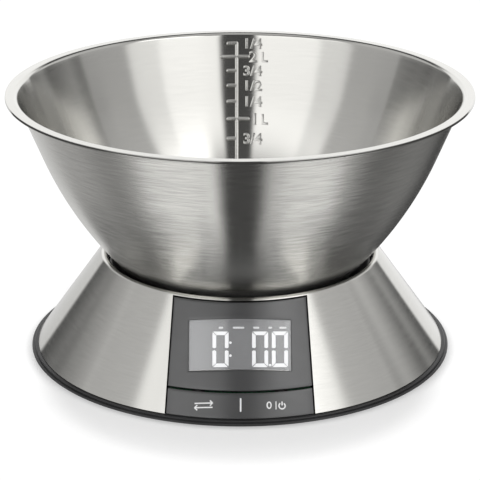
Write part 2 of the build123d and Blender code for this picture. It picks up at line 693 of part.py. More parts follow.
def thumb_notch():
    """A shallow scoop in the cover's underside beside the battery door's free edge."""
    y = BATTERY_Y - door_half_width()
    return upright(0, y, 0, FOOT_LIFT + THUMB_DEPTH, THUMB_RADIUS)


def foot(x, y):
    """A rubber foot, let into the bottom cover."""
    return upright(x, y, 0, FOOT_LIFT + FOOT_SEAT, FOOT_RADIUS)


def door_axis():
    """The battery door's turning axis, as y and height: the middle of its rounded edge."""
    nose = FLOOR_WALL / 2
    return BATTERY_Y + door_half_width() - DOOR_GAP - nose, FOOT_LIFT + nose


def battery_door():
    """The battery door: a plate with a round hinge edge, two hooks and a notch for a thumb."""
    axis_y, axis_z = door_axis()
    free_y = BATTERY_Y - door_half_width() + DOOR_GAP
    length = 2 * (door_half_length() - DOOR_GAP)
    plate = block(0, (axis_y + free_y) / 2, FOOT_LIFT, COVER_FLOOR_TOP, length, axis_y - free_y)
    plate += lying(0, axis_y, axis_z, FLOOR_WALL / 2, length)
    plate -= thumb_notch()
    hook_foot = COVER_FLOOR_TOP + DOOR_HOOK_LIFT
    edge = BATTERY_Y + door_half_width()
    for x in (-DOOR_HOOK_X, DOOR_HOOK_X):
        root = axis_y - DOOR_HOOK_ROOT
        plate += block(
            x, (root + axis_y) / 2, COVER_FLOOR_TOP - DOOR_HOOK_LIFT, hook_foot + DOOR_HOOK_WALL,
            DOOR_HOOK_WIDTH, DOOR_HOOK_ROOT,
        )
        tip = edge + DOOR_HOOK_BITE
        plate += block(
            x, (root + tip) / 2, hook_foot, hook_foot + DOOR_HOOK_WALL, DOOR_HOOK_WIDTH, tip - root
        )
    return plate


def battery(side):
    """An AAA cell: its nub points to the contact bridge on one side, away from it on the other."""
    y = BATTERY_Y + side * BATTERY_PITCH / 2
    plus_x = -side * (box_half_length() - CONTACT_WALL)
    middle = plus_x + side * (BATTERY_NUB + BATTERY_LENGTH) / 2
    nub_x = plus_x + side * BATTERY_NUB / 2
    can = lying(middle, y, BATTERY_AXIS, BATTERY_RADIUS, BATTERY_LENGTH - BATTERY_NUB)
    return can + lying(nub_x, y, BATTERY_AXIS, BATTERY_NUB_RADIUS, BATTERY_NUB)


def contact_bridge():
    """The plate that joins both batteries at one end of the box."""
    x = -box_half_length() + CONTACT_WALL / 2
    return Pos(x, BATTERY_Y, BATTERY_AXIS) * Box(CONTACT_WALL, BATTERY_PITCH + CONTACT_WIDTH, CONTACT_HEIGHT)


def contact_plate(side):
    """A single battery's plate at the other end of the box."""
    x = box_half_length() - CONTACT_WALL / 2
    y = BATTERY_Y + side * BATTERY_PITCH / 2
    return Pos(x, y, BATTERY_AXIS) * Box(CONTACT_WALL, CONTACT_WIDTH, CONTACT_HEIGHT)


def contact_spring(side):
    """The coil that presses on a battery's flat end."""
    length = BATTERY_SPRING - 2 * COIL_WIRE
    pitch = length / COIL_TURNS
    coil = Helix(pitch, length, COIL_RADIUS)
    wire = sweep(Plane(coil @ 0, z_dir=coil % 0) * Circle(COIL_WIRE), path=coil)
    start = side * (box_half_length() - CONTACT_WALL - COIL_WIRE)
    y = BATTERY_Y + side * BATTERY_PITCH / 2
    return Pos(start, y, BATTERY_AXIS) * Rot(0, -90 * side, 0) * wire


def lead(points):
    """A round lead along straight runs with rounded bends."""
    path = FilletPolyline(*points, radius=LEAD_BEND)
    return sweep(Plane(path @ 0, z_dir=path % 0) * Circle(LEAD_RADIUS), path=path)


def board_landing(x):
    """The last two points of a lead: behind the board, and on its back."""
    back = BOARD_DEPTH + BOARD_WALL
    return [FRONT.from_local_coords(Vector(x, LEAD_RISE, -back - d)) for d in (LEAD_STUB, 0)]


def sensor_lead():
    """The lead from the load cell's side to the board."""
    side, height = -CELL_SECTION / 2, CELL_TOP - SENSOR_LEAD_DROP
    run = side - SENSOR_LEAD_RUN
    ends = [(SENSOR_LEAD_X, side, height), (SENSOR_LEAD_X, run, height)]
    return lead(ends + board_landing(SENSOR_LEAD_X))


def battery_lead_start(side):
    """Where a battery lead leaves its contact plate."""
    return box_half_length(), BATTERY_Y + side * BATTERY_PITCH / 2, BATTERY_AXIS - BATTERY_LEAD_DROP


def battery_lead(side):
    """The lead from a battery's contact plate, past the load cell, to the board."""
    start = battery_lead_start(side)
    shift = (side + 1) / 2 * BATTERY_LEAD_PITCH
    x = BATTERY_LEAD_X + shift
    runs = [start, (x, start[1], start[2]), (x, BATTERY_LEAD_TURN, start[2])]
    return lead(runs + board_landing(BATTERY_LEAD_LANDING + shift))


def load_cell():
    """The bending beam: a bar with a double eye through it, clamped at one end."""
    bar = block(0, 0, CELL_FOOT, CELL_TOP, CELL_LENGTH, CELL_SECTION)
    middle = (CELL_FOOT + CELL_TOP) / 2
    for x in (-CELL_EYE_X, CELL_EYE_X):
        bar -= Pos(x, 0, middle) * Rot(90, 0, 0) * Cylinder(CELL_EYE_RADIUS, 2 * CELL_SECTION)
    bar -= Pos(0, 0, middle) * Box(2 * CELL_EYE_X, 2 * CELL_SECTION, CELL_SLOT)
    for x in CELL_HOLE_X:
        bar -= upright(-x, 0, CELL_FOOT, CELL_FOOT + CELL_HOLE_DEPTH, CELL_SCREW_SHANK + HOLE_FIT)
        bar -= upright(x, 0, CELL_TOP - CELL_HOLE_DEPTH, CELL_TOP, CELL_SCREW_SHANK + HOLE_FIT)
    return bar


def gauge_seal():
    """The coating over the strain gauges on the beam's middle."""
    return block(0, 0, CELL_TOP, CELL_TOP + GAUGE_WALL, GAUGE_LENGTH, CELL_SECTION)


def cell_spacer(side, low):
    """The plate between an end of the beam and what it is screwed to."""
    x = side * (CELL_LENGTH - CELL_GRIP) / 2
    plate = block(x, 0, low, low + SPACER_WALL, CELL_GRIP, CELL_SECTION)
    high, radius = low + SPACER_WALL, CELL_SCREW_SHANK + HOLE_FIT
    return plate - joined(upright(side * hole, 0, low, high, radius) for hole in CELL_HOLE_X)


def cell_base_screws():
    """The screws from below into the beam's fixed end."""
    seat = FOOT_LIFT + CELL_SCREW_HEAD_HEIGHT
    return [
        upright(-x, 0, FOOT_LIFT, seat, CELL_SCREW_HEAD)
        + upright(-x, 0, seat, CELL_FOOT + CELL_SCREW_GRIP, CELL_SCREW_SHANK)
        for x in CELL_HOLE_X
    ]


def cell_top_screws():
    """The screws from above into the beam's free end."""
    return [
        upright(x, 0, BRACKET_TOP, BRACKET_TOP + CELL_SCREW_HEAD_HEIGHT, CELL_SCREW_HEAD)
        + upright(x, 0, CELL_TOP - CELL_SCREW_GRIP, BRACKET_TOP, CELL_SCREW_SHANK)
        for x in CELL_HOLE_X
    ]


def platform_bracket():
    """The plate on the beam's free end that carries the dish."""
    right = CELL_LENGTH / 2
    middle, length = (right - BRACKET_REACH) / 2, right + BRACKET_REACH
    plate = block(middle, 0, BRACKET_FOOT, BRACKET_TOP, length, BRACKET_WIDTH)
    for x in CELL_HOLE_X:
        plate -= upright(x, 0, BRACKET_FOOT, BRACKET_TOP, CELL_SCREW_SHANK + HOLE_FIT)
    for x, y in corners_of(DISH_BOSS_X, DISH_BOSS_Y):
        plate -= upright(x, y, BRACKET_FOOT, BRACKET_TOP, DISH_SCREW_SHANK + HOLE_FIT)
    return plate


def platform_screws():
    """The screws from below that hold the dish to its bracket."""
    return [
        upright(x, y, BRACKET_FOOT - DISH_SCREW_HEAD_HEIGHT, BRACKET_FOOT, DISH_SCREW_HEAD)
        + upright(x, y, BRACKET_FOOT, BRACKET_TOP + DISH_SCREW_GRIP, DISH_SCREW_SHANK)
        for x, y in corners_of(DISH_BOSS_X, DISH_BOSS_Y)
    ]


def weighing_dish():
    """The dish that the bowl stands in, with four bosses down to its bracket."""
    edge = SEAT_HEIGHT + DISH_RISE
    slope_end = DISH_RADIUS - DISH_EDGE
    lean = atan(DISH_RISE / (slope_end - DISH_FLAT_RADIUS))
    drop = DISH_WALL / cos(lean)
    back = DISH_FLAT_RADIUS + DISH_WALL * tan(lean / 2)
    dish = turned([
        (0, DISH_FOOT),
        (back, DISH_FOOT),
        (DISH_RADIUS, edge + DISH_EDGE * tan(lean) - drop),
        (DISH_RADIUS, edge),
        (slope_end, edge),
        (DISH_FLAT_RADIUS, SEAT_HEIGHT),
        (0, SEAT_HEIGHT),
    ])
    hole_top = BRACKET_TOP + DISH_SCREW_GRIP + HOLE_FIT
    for x, y in corners_of(DISH_BOSS_X, DISH_BOSS_Y):
        dish += upright(x, y, BRACKET_TOP, DISH_FOOT + DISH_WALL / 2, DISH_BOSS_RADIUS)
        dish -= upright(x, y, BRACKET_TOP, hole_top, DISH_SCREW_SHANK + HOLE_FIT)
    return dish


def pieces():
    """Every piece of the scale by its node's name."""
    return {
        "bowl": bowl(),
        "steel_cover": steel_cover(),
        "inner_housing": inner_housing(),
        "bottom_cover": bottom_cover(),
        "front_panel": front_panel(),
        "display_window": display_window(),
        "key_bar": key_bar(),
        "lcd_glass": lcd_glass(),
        "backlight": backlight(),
        "lcd_connector": lcd_connector(),
        "circuit_board": circuit_board(),
        "circuit_chip": circuit_chip(),
        "switch_left": key_switch(-SWITCH_X),
        "switch_right": key_switch(SWITCH_X),
        "board_screws": Compound(children=board_screws()),
        "cover_screws": Compound(children=cover_screws()),
        "load_cell": load_cell(),
        "gauge_seal": gauge_seal(),
        "cell_base_spacer": cell_spacer(-1, PEDESTAL_TOP),
        "cell_top_spacer": cell_spacer(1, CELL_TOP),
        "cell_base_screws": Compound(children=cell_base_screws()),
        "cell_top_screws": Compound(children=cell_top_screws()),
        "platform_bracket": platform_bracket(),
        "platform_screws": Compound(children=platform_screws()),
        "weighing_dish": weighing_dish(),
        "battery_door": battery_door(),
        "battery_front": battery(-1),
        "battery_rear": battery(1),
        "contact_bridge": contact_bridge(),
        "contact_front": contact_plate(-1),
        "contact_rear": contact_plate(1),
        "spring_front": contact_spring(-1),
        "spring_rear": contact_spring(1),
        "sensor_lead": sensor_lead(),
        "battery_lead_front": battery_lead(-1),
        "battery_lead_rear": battery_lead(1),
        **{f"foot_{i}": foot(x, y) for i, (x, y) in enumerate(foot_places(), 1)},
    }


def main():
    """Write one STEP file for each piece."""
    os.makedirs("parts", exist_ok=True)
    for name, piece in pieces().items():
        export_step(piece, f"parts/{name}.step")


main()
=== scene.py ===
"""Looks of a kitchen scale: a brushed steel mixing bowl on a conical steel base with a sloped display.

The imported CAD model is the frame. Shapes are worked out in millimetres and put into meshes in metres.
"""

import logging
from dataclasses import dataclass, field
from enum import Enum
from math import atan2, cos, pi, radians, sin, tan
from typing import Any, Callable, Sequence

import bmesh
import bpy
import numpy as np
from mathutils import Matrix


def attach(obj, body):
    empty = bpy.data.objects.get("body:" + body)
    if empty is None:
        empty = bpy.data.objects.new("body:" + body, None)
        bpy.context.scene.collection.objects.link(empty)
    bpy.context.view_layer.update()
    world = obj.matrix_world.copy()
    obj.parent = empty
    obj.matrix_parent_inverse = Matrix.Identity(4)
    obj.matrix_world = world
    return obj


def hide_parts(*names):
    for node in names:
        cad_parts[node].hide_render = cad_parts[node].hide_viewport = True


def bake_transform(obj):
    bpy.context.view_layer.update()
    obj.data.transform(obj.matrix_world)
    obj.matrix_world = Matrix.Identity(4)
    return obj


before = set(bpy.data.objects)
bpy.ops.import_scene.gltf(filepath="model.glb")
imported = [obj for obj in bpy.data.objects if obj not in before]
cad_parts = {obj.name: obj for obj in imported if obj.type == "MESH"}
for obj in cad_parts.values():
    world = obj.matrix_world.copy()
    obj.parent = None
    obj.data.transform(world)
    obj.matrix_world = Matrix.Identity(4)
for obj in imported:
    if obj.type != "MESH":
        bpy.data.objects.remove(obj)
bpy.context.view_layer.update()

LOG = logging.getLogger("kitchen_scale")
MM = 0.001
Colour = tuple[float, float, float, float]
Pair = tuple[float, float]
ScrewSize = tuple[float, float, float, float, float]
Numbers = np.ndarray | float


class Body(Enum):
    """The CAD bodies that pieces ride on."""

    BASE = "base"
    BOWL = "bowl"
    KEY = "key"
    PLATFORM = "platform"


# Shapes


@dataclass
class Surface:
    """Points in millimetres with the four- and three-cornered faces between them.

    Attributes:
        points: One row of x, y, z for each point.
        quads: Point numbers of the four-cornered faces.
        tris: Point numbers of the three-cornered faces.
        bands: For each four-cornered face, which of the piece's finishes it takes.
    """

    points: np.ndarray
    quads: np.ndarray = field(default_factory=lambda: np.zeros((0, 4), int))
    tris: np.ndarray = field(default_factory=lambda: np.zeros((0, 3), int))
    bands: np.ndarray | None = None

    def thickened(self, normals: np.ndarray, wall: float) -> "Surface":
        """Gives an open surface a wall: a second layer at P - wall * N, joined along the open edges.

        Args:
            normals: The direction out of the surface at each point.
            wall: The wall's thickness.

        Returns:
            The closed surface.
        """
        count = len(self.points)
        edges = [self.quads[:, [i, (i + 1) % 4]] for i in range(4)]
        edges += [self.tris[:, [i, (i + 1) % 3]] for i in range(3)]
        every = np.concatenate(edges)
        ordered = np.sort(every, axis=1)
        _, inverse, counts = np.unique(ordered, axis=0, return_inverse=True, return_counts=True)
        a, b = every[counts[inverse.ravel()] == 1].T
        sides = np.stack([b, a, a + count, b + count], axis=1)
        return Surface(
            np.concatenate([self.points, self.points - wall * normals]),
            np.concatenate([self.quads, self.quads[:, ::-1] + count, sides]),
            np.concatenate([self.tris, self.tris[:, ::-1] + count]),
        )

    def compact(self) -> "Surface":
        """Drops the points that no face uses."""
        used = np.unique(np.concatenate([self.quads.ravel(), self.tris.ravel()]))
        place = np.zeros(len(self.points), int)
        place[used] = np.arange(len(used))
        return Surface(self.points[used], place[self.quads], place[self.tris], self.bands)

    def moved(self, x: float, y: float, z: float) -> "Surface":
        """The same surface at another place."""
        return Surface(self.points + np.array([x, y, z]), self.quads, self.tris, self.bands)


def joined(parts: Sequence[Surface]) -> Surface:
    """Puts surfaces side by side.

    Args:
        parts: The surfaces.

    Returns:
        One surface with the points and faces of all.
    """
    starts = np.cumsum([0] + [len(p.points) for p in parts[:-1]])
    return Surface(
        np.concatenate([p.points for p in parts]),
        np.concatenate([p.quads + s for p, s in zip(parts, starts)]),
        np.concatenate([p.tris + s for p, s in zip(parts, starts)]),
    )


def grid(points: np.ndarray, closed_rows: bool = False, closed_columns: bool = False) -> Surface:
    """Faces over a table of points: each cell of the table is one face.

    Args:
        points: Points as rows, columns and x, y, z.
        closed_rows: Whether the last row joins the first.
        closed_columns: Whether the last column joins the first.

    Returns:
        The surface, facing along (column direction) x (row direction).
    """
    rows, columns = points.shape[:2]
    index = np.arange(rows * columns).reshape(rows, columns)
    if closed_columns:
        index = np.concatenate([index, index[:, :1]], axis=1)
    if closed_rows:
        index = np.concatenate([index, index[:1]], axis=0)
    quads = np.stack([index[:-1, :-1], index[:-1, 1:], index[1:, 1:], index[1:, :-1]], axis=-1)
    return Surface(points.reshape(-1, 3), quads.reshape(-1, 4))


def lathe(profile: np.ndarray, segments: int, bands: np.ndarray | None = None) -> Surface:
    """Turns a profile about Z: P(i, a) = (r_i cos a, r_i sin a, z_i), with a pole where r is zero.

    Args:
        profile: Radius and height of each point, going from below outwards and up.
        segments: How many steps make the full turn.
        bands: For each step of the profile, which finish it takes.

    Returns:
        The turned surface.
    """
    low, high = profile[0, 0] < 1e-9, profile[-1, 0] < 1e-9
    rings = profile[int(low) : len(profile) - int(high)]
    angle = np.linspace(0, 2 * pi, segments, endpoint=False)
    r, z = rings[:, :1], np.repeat(rings[:, 1:], segments, axis=1)
    turned = grid(np.stack([r * np.cos(angle), r * np.sin(angle), z], axis=-1), closed_columns=True)
    points, tris = [turned.points], []
    step = np.arange(segments)
    for wanted, ring, height in ((low, 0, profile[0, 1]), (high, len(rings) - 1, profile[-1, 1])):
        if wanted:
            here, after = ring * segments + step, ring * segments + (step + 1) % segments
            pole = np.full(segments, sum(len(p) for p in points))
            tris.append(np.stack([pole, after, here] if ring == 0 else [pole, here, after], axis=1))
            points.append(np.array([[0.0, 0.0, height]]))
    if bands is not None:
        bands = np.repeat(bands[int(low) : len(bands) - int(high)], segments)
    tris = np.concatenate(tris) if tris else np.zeros((0, 3), int)
    return Surface(np.concatenate(points), turned.quads, tris, bands)


def run(start: Sequence[float], end: Sequence[float], steps: int) -> np.ndarray:
    """Points on a straight line, both ends among them."""
    return np.linspace(np.array(start, float), np.array(end, float), steps + 1)


def bend(middle: Sequence[float], radius: float, start: float, end: float, steps: int) -> np.ndarray:
    """Points on an arc of a profile: middle + radius * (cos a, sin a), with a in degrees."""
    angle = np.radians(np.linspace(start, end, steps + 1))
    return np.array(middle) + radius * np.stack([np.cos(angle), np.sin(angle)], axis=1)


def profile_of(*parts: np.ndarray) -> np.ndarray:
    """One profile from runs and bends, without the points that repeat where they meet."""
    points = np.concatenate(parts)
    keep = np.concatenate([[True], np.linalg.norm(np.diff(points, axis=0), axis=1) > 1e-7])
    return points[keep]


def lettering(body: str, size: float, depth: float, weight: float = 0.022) -> Surface:
    """Raised figures in the built-in plain typeface, flat on XY with their front towards +Z.

    Args:
        body: The figures.
        size: The type size in millimetres.
        depth: How far the figures stand up.
        weight: How far their outline grows, as a share of the size.

    Returns:
        The figures, starting at x = 0 and centred on y = 0.
    """
    curve = bpy.data.curves.new("figures", "FONT")
    curve.body, curve.size, curve.align_y = body, size, "CENTER"
    curve.extrude, curve.bevel_depth, curve.bevel_resolution = depth / 2, depth / 3, 1
    curve.offset = size * weight
    holder = bpy.data.objects.new("figures", curve)
    bpy.context.scene.collection.objects.link(holder)
    mesh = bpy.data.meshes.new_from_object(holder.evaluated_get(bpy.context.evaluated_depsgraph_get()))
    mesh.calc_loop_triangles()
    points = np.zeros(len(mesh.vertices) * 3)
    tris = np.zeros(len(mesh.loop_triangles) * 3, int)
    mesh.vertices.foreach_get("co", points)
    mesh.loop_triangles.foreach_get("vertices", tris)
    bpy.data.objects.remove(holder)
    bpy.data.curves.remove(curve)
    bpy.data.meshes.remove(mesh)
    return Surface(points.reshape(-1, 3), tris=tris.reshape(-1, 3))


# Shader graphs


def operator(operation: str, swapped: bool = False) -> Callable[["Value", Any], "Value"]:
    """A Python operator on shader sockets that adds a Math node.

    Args:
        operation: The node's operation.
        swapped: Whether the socket comes second.

    Returns:
        The operator's method.
    """

    def apply(value: "Value", other: "Value | float") -> "Value":
        """Adds the node."""
        return value.graph.math(operation, *((other, value) if swapped else (value, other)))

    return apply


class Value:
    """A shader socket that takes part in Python expressions."""

    def __init__(self, graph: "Graph", socket: bpy.types.NodeSocket) -> None:
        """Wraps one output socket of a graph."""
        self.graph = graph
        self.socket = socket

    __add__, __radd__ = operator("ADD"), operator("ADD", swapped=True)
    __sub__, __rsub__ = operator("SUBTRACT"), operator("SUBTRACT", swapped=True)
    __mul__, __rmul__ = operator("MULTIPLY"), operator("MULTIPLY", swapped=True)
    __truediv__ = operator("DIVIDE")


class Graph:
    """Adds nodes to one node tree."""

    def __init__(self, tree: bpy.types.NodeTree) -> None:
        """Empties the tree that the nodes go into."""
        self.tree = tree
        tree.nodes.clear()

    def node(self, kind: str, settings: dict[str, Any], inputs: dict[str | int, Any]) -> bpy.types.Node:
        """Adds any node.

        Args:
            kind: The node's type, without the ShaderNode in front.
            settings: Its settings, which are set first.
            inputs: Values or links for its sockets, by name or number.

        Returns:
            The node.
        """
        made = self.tree.nodes.new("ShaderNode" + kind)
        for name, value in settings.items():
            setattr(made, name, value)
        for name, value in inputs.items():
            if isinstance(value, Value):
                self.tree.links.new(value.socket, made.inputs[name])
            else:
                made.inputs[name].default_value = value
        return made

    def out(self, node: bpy.types.Node, name: str | int = 0) -> Value:
        """One of a node's outputs."""
        return Value(self, node.outputs[name])

    def math(self, operation: str, *values: Value | float) -> Value:
        """A Math node on one to three values."""
        return self.out(self.node("Math", {"operation": operation}, dict(enumerate(values))))

    def mix(self, share: Value, first: Colour, second: Colour, clamp: bool = True) -> Value:
        """A colour between two colours, or past them where the share isn't clamped."""
        settings = {"data_type": "RGBA", "clamp_factor": clamp}
        return self.out(self.node("Mix", settings, {0: share, 6: first, 7: second}), 2)

    def ramp(self, value: Value, low: float, high: float) -> Value:
        """A soft step: 0 below low, 1 above high."""
        limits = {"From Min": low, "From Max": high}
        return self.out(self.node("MapRange", {"interpolation_type": "SMOOTHSTEP"}, {0: value, **limits}))

    def vector(self, x: Value | float, y: Value | float, z: Value | float) -> Value:
        """A vector from three values."""
        return self.out(self.node("CombineXYZ", {}, {0: x, 1: y, 2: z}))

    def place(self) -> Value:
        """The point on the surface in the part's own frame, in metres."""
        return self.out(self.node("TexCoord", {}, {}), "Object")

    def split(self, vector: Value) -> tuple[Value, Value, Value]:
        """The three values of a vector."""
        parts = self.node("SeparateXYZ", {}, {0: vector})
        return self.out(parts, 0), self.out(parts, 1), self.out(parts, 2)

    def noise(self, vector: Value, scale: float, detail: float = 2.0) -> Value:
        """Smooth noise between 0 and 1."""
        return self.out(self.node("TexNoise", {}, {"Vector": vector, "Scale": scale, "Detail": detail}))

    def stretched(self, *scales: float) -> Value:
        """Noise with a scale of its own along x, y and z."""
        parts = [part * scale for part, scale in zip(self.split(self.place()), scales)]
        return self.noise(self.vector(*parts), 1.0)

    def bump(self, height: Value, strength: float, distance: float) -> Value:
        """A normal that follows a height."""
        inputs = {"Height": height, "Strength": strength, "Distance": distance}
        return self.out(self.node("Bump", {}, inputs), "Normal")


def grey(level: float, warmth: float = 0.0) -> Colour:
    """A neutral colour, a little warmer or cooler."""
    return (level * (1 + warmth / 4), level, level * (1 - warmth), 1.0)


# Finishes

# Changes to the metre of each kind of noise
WEAR, WAVE, PATCH, MOTTLE = 22.0, 55.0, 60.0, 90.0
STRAY, HAZE, CLOUD, LIT_CLOUD = 120.0, 140.0, 160.0, 420.0
FLECK, FILM, DOT = 900.0, 1500.0, 3200.0


@dataclass(frozen=True)
class Finish:
    """A surface finish, made into a material once.

    Attributes:
        name: The material's name.
    """

    name: str

    def material(self) -> bpy.types.Material:
        """The material, made on first use."""
        found = bpy.data.materials.get(self.name)
        if found is None:
            found = bpy.data.materials.new(self.name)
            found.use_nodes = True
            graph = Graph(found.node_tree)
            shader = graph.node("BsdfPrincipled", {}, self.inputs(graph))
            graph.node("OutputMaterial", {}, {"Surface": graph.out(shader)})
        return found

    def inputs(self, graph: Graph) -> dict[str, Any]:
        """The shader's values and links, by socket."""
        return {}


@dataclass(frozen=True)
class BrushedSteel(Finish):
    """Steel with fine lines round the axis, which stretch its reflections across them.

    Attributes:
        colour: How much light the steel gives back.
        roughness: Mean roughness.
        spread: How far the roughness changes from line to line.
        contrast: How far the colour changes from line to line.
        lean: Whether the radius grows (+1) or shrinks (-1) as the surface rises.
        relief: Strength of the lines' bump.
        anisotropy: How much smoother the steel is round the axis than across it.
        fine: The fine lines' changes round the axis, and their number to the metre across.
        broad: The same for the broad lines.
        warmth: How far the steel's colour leans to yellow.
    """

    colour: float = 0.66
    roughness: float = 0.33
    spread: float = 0.16
    contrast: float = 0.16
    lean: float = 1.0
    relief: float = 0.05
    anisotropy: float = 1.0
    fine: Pair = (8.0, 1500.0)
    broad: Pair = (3.0, 420.0)
    warmth: float = 0.045

    def inputs(self, graph: Graph) -> dict[str, Any]:
        """Bare metal with lines from noise on (x/r, y/r, z + lean * r), long round the axis, short across."""
        x, y, z = graph.split(graph.place())
        radius = graph.math("SQRT", x * x + y * y + 1e-9)
        across = z + radius * self.lean
        fine, broad = (
            graph.noise(graph.vector(x / radius * turns, y / radius * turns, across * lines), 1.0, detail)
            for (turns, lines), detail in ((self.fine, 3.0), (self.broad, 2.0))
        )
        wear = graph.noise(graph.place(), WEAR, 3.0)
        line = graph.ramp(fine * 0.85 + broad * 0.15, 0.3, 0.7)
        dark, light = (grey(self.colour * (1 + way * self.contrast), self.warmth) for way in (-1, 1))
        rough = (line - 0.5) * self.spread + (wear - 0.5) * 0.03 + self.roughness
        return {
            "Metallic": 1.0,
            "Anisotropic": self.anisotropy,
            "Anisotropic Rotation": 0.25,
            "Base Color": graph.mix(line, dark, light),
            "Roughness": rough,
            "Normal": graph.bump(fine, self.relief, 0.0002),
        }


@dataclass(frozen=True)
class GlossPanel(Finish):
    """Dark grey moulded plastic with a clear gloss.

    Attributes:
        colour: Mean level of its grey.
        roughness: Mean roughness under the gloss.
        coolness: How far the grey leans to blue.
    """

    colour: float = 0.042
    roughness: float = 0.34
    coolness: float = 0.02

    def inputs(self, graph: Graph) -> dict[str, Any]:
        """A clear coat, slight mottle in the colour, a soft waviness of the moulding and faint wipe marks."""
        place = graph.place()
        mottle = graph.noise(place, MOTTLE, 3.0)
        wave = graph.noise(place, WAVE, 1.0)
        wipe = graph.stretched(40.0, 400.0, 400.0)
        dark, light = (grey(self.colour * share, -self.coolness) for share in (0.86, 1.14))
        return {
            "IOR": 1.49,
            "Coat IOR": 1.5,
            "Coat Roughness": 0.2,
            "Base Color": graph.mix(mottle, dark, light),
            "Roughness": (wipe - 0.5) * 0.14 + self.roughness,
            "Coat Weight": (mottle - 0.5) * 0.2 + 0.85,
            "Normal": graph.bump(wave, 0.03, 0.001),
        }


@dataclass(frozen=True)
class GrainPlastic(Finish):
    """Moulded plastic or rubber with a fine grain.

    Attributes:
        colour: Base colour.
        roughness: Mean roughness.
        grain: Grains to the metre.
        relief: Strength of the grain's bump.
    """

    colour: Colour = (0.018, 0.018, 0.019, 1.0)
    roughness: float = 0.42
    grain: float = 2600.0
    relief: float = 0.12

    def inputs(self, graph: Graph) -> dict[str, Any]:
        """Grain from fine noise; rubbed and dusty patches from broad noise."""
        place = graph.place()
        grain = graph.noise(place, self.grain, 1.0)
        patch = graph.noise(place, PATCH, 4.0)
        share = graph.ramp(patch, 0.3, 0.75)
        lifted = tuple(min(1.0, c * 1.25 + 0.004) for c in self.colour[:3]) + (1.0,)
        return {
            "Base Color": graph.mix(share, self.colour, lifted),
            "Roughness": (grain - 0.5) * 0.12 + (patch - 0.5) * 0.16 + self.roughness,
            "Normal": graph.bump(grain, self.relief, 0.0001),
        }


@dataclass(frozen=True)
class PlainMetal(Finish):
    """Plated or milled metal with straight tool marks.

    Attributes:
        colour: How much light the metal gives back.
        roughness: Mean roughness.
        marks: Tool marks to the metre, along x.
    """

    colour: Colour = (0.62, 0.62, 0.6, 1.0)
    roughness: float = 0.3
    marks: float = 1800.0

    def inputs(self, graph: Graph) -> dict[str, Any]:
        """Bare metal with marks from noise that is stretched along y and z, and cloudy plating."""
        mark = graph.stretched(self.marks, 90.0, 240.0)
        cloud = graph.noise(graph.place(), CLOUD, 3.0)
        dull = tuple(c * 0.8 for c in self.colour[:3]) + (1.0,)
        return {
            "Metallic": 1.0,
            "Base Color": graph.mix(cloud, dull, self.colour),
            "Roughness": (mark - 0.5) * 0.2 + self.roughness,
            "Normal": graph.bump(mark, 0.05, 0.0001),
        }


@dataclass(frozen=True)
class ClearWindow(Finish):
    """Clear smoked plastic.

    Attributes:
        tint: How much light it lets through.
    """

    tint: float = 0.9

    def inputs(self, graph: Graph) -> dict[str, Any]:
        """Lets light through, with a trace of haze and finger marks."""
        haze = graph.noise(graph.place(), HAZE, 4.0)
        return {
            "Transmission Weight": 1.0,
            "IOR": 1.46,
            "Base Color": graph.mix(haze, grey(self.tint * 0.98, -0.01), grey(self.tint, -0.01)),
            "Roughness": graph.ramp(haze, 0.45, 0.9) * 0.05 + 0.012,
        }


@dataclass(frozen=True)
class DisplayFace(Finish):
    """The display's grey face, lit from behind, brighter towards its left end.

    Attributes:
        middle: Height of the face's middle, in metres.
        half: Half the height and half the width of the part that the window shows, in metres.
        dim: Level of the lit face away from the lamp.
        glow: How much brighter it is towards its left end.
        fade: Where that brightening starts and ends to fade, in metres along x.
        rim: How much brighter the field's edge is.
        soft: Half the width of that edge's border, in metres.
    """

    middle: float = 0.0305
    half: Pair = (0.0108, 0.0218)
    dim: float = 0.185
    glow: float = 0.08
    fade: Pair = (-0.0205, -0.004)
    rim: float = 0.09
    soft: float = 0.0003

    def inputs(self, graph: Graph) -> dict[str, Any]:
        """Satin glass, a brightening at the left end fading to the right, a lighter edge round the field, and
        fine dots.
        """
        place = graph.place()
        x, _, z = graph.split(place)
        # lamp here is only a brightening towards the left end, fading to the right
        lamp = 1.0 - graph.ramp(x, *self.fade)
        off = graph.math("ABSOLUTE", z - self.middle)
        high, wide = self.half
        edges = [graph.ramp(v, end - self.soft, end + self.soft) for v, end in ((x, wide), (off, high))]
        edge = graph.math("MAXIMUM", *edges)
        dots = graph.noise(place, DOT, 1.0)
        level = lamp * self.glow + edge * self.rim + dots * 0.03 + self.dim
        return {
            "Roughness": 0.35,
            "Emission Strength": 1.0,
            "Base Color": graph.mix(dots, grey(0.06), grey(0.09)),
            "Emission Color": graph.mix(level, grey(0.0), (0.985, 0.99, 1.0, 1.0)),
        }


@dataclass(frozen=True)
class LitSegment(Finish):
    """A lit part of the display.

    Attributes:
        level: How much light it gives.
    """

    level: float = 0.7

    def inputs(self, graph: Graph) -> dict[str, Any]:
        """Gives its own light, a little uneven, as a lit field does."""
        cloud = graph.noise(graph.place(), LIT_CLOUD)
        return {
            "Base Color": grey(0.8),
            "Roughness": 0.5,
            "Emission Strength": self.level,
            "Emission Color": graph.mix(cloud, (0.93, 0.94, 0.95, 1.0), grey(1.0)),
        }


@dataclass(frozen=True)
class WhiteInk(Finish):
    """White printing ink."""

    def inputs(self, graph: Graph) -> dict[str, Any]:
        """Ink with a fine uneven film."""
        film = graph.noise(graph.place(), FILM)
        return {
            "Base Color": graph.mix(film, grey(0.78), grey(0.9)),
            "Roughness": film * 0.2 + 0.4,
            "Normal": graph.bump(film, 0.05, 0.00005),
        }


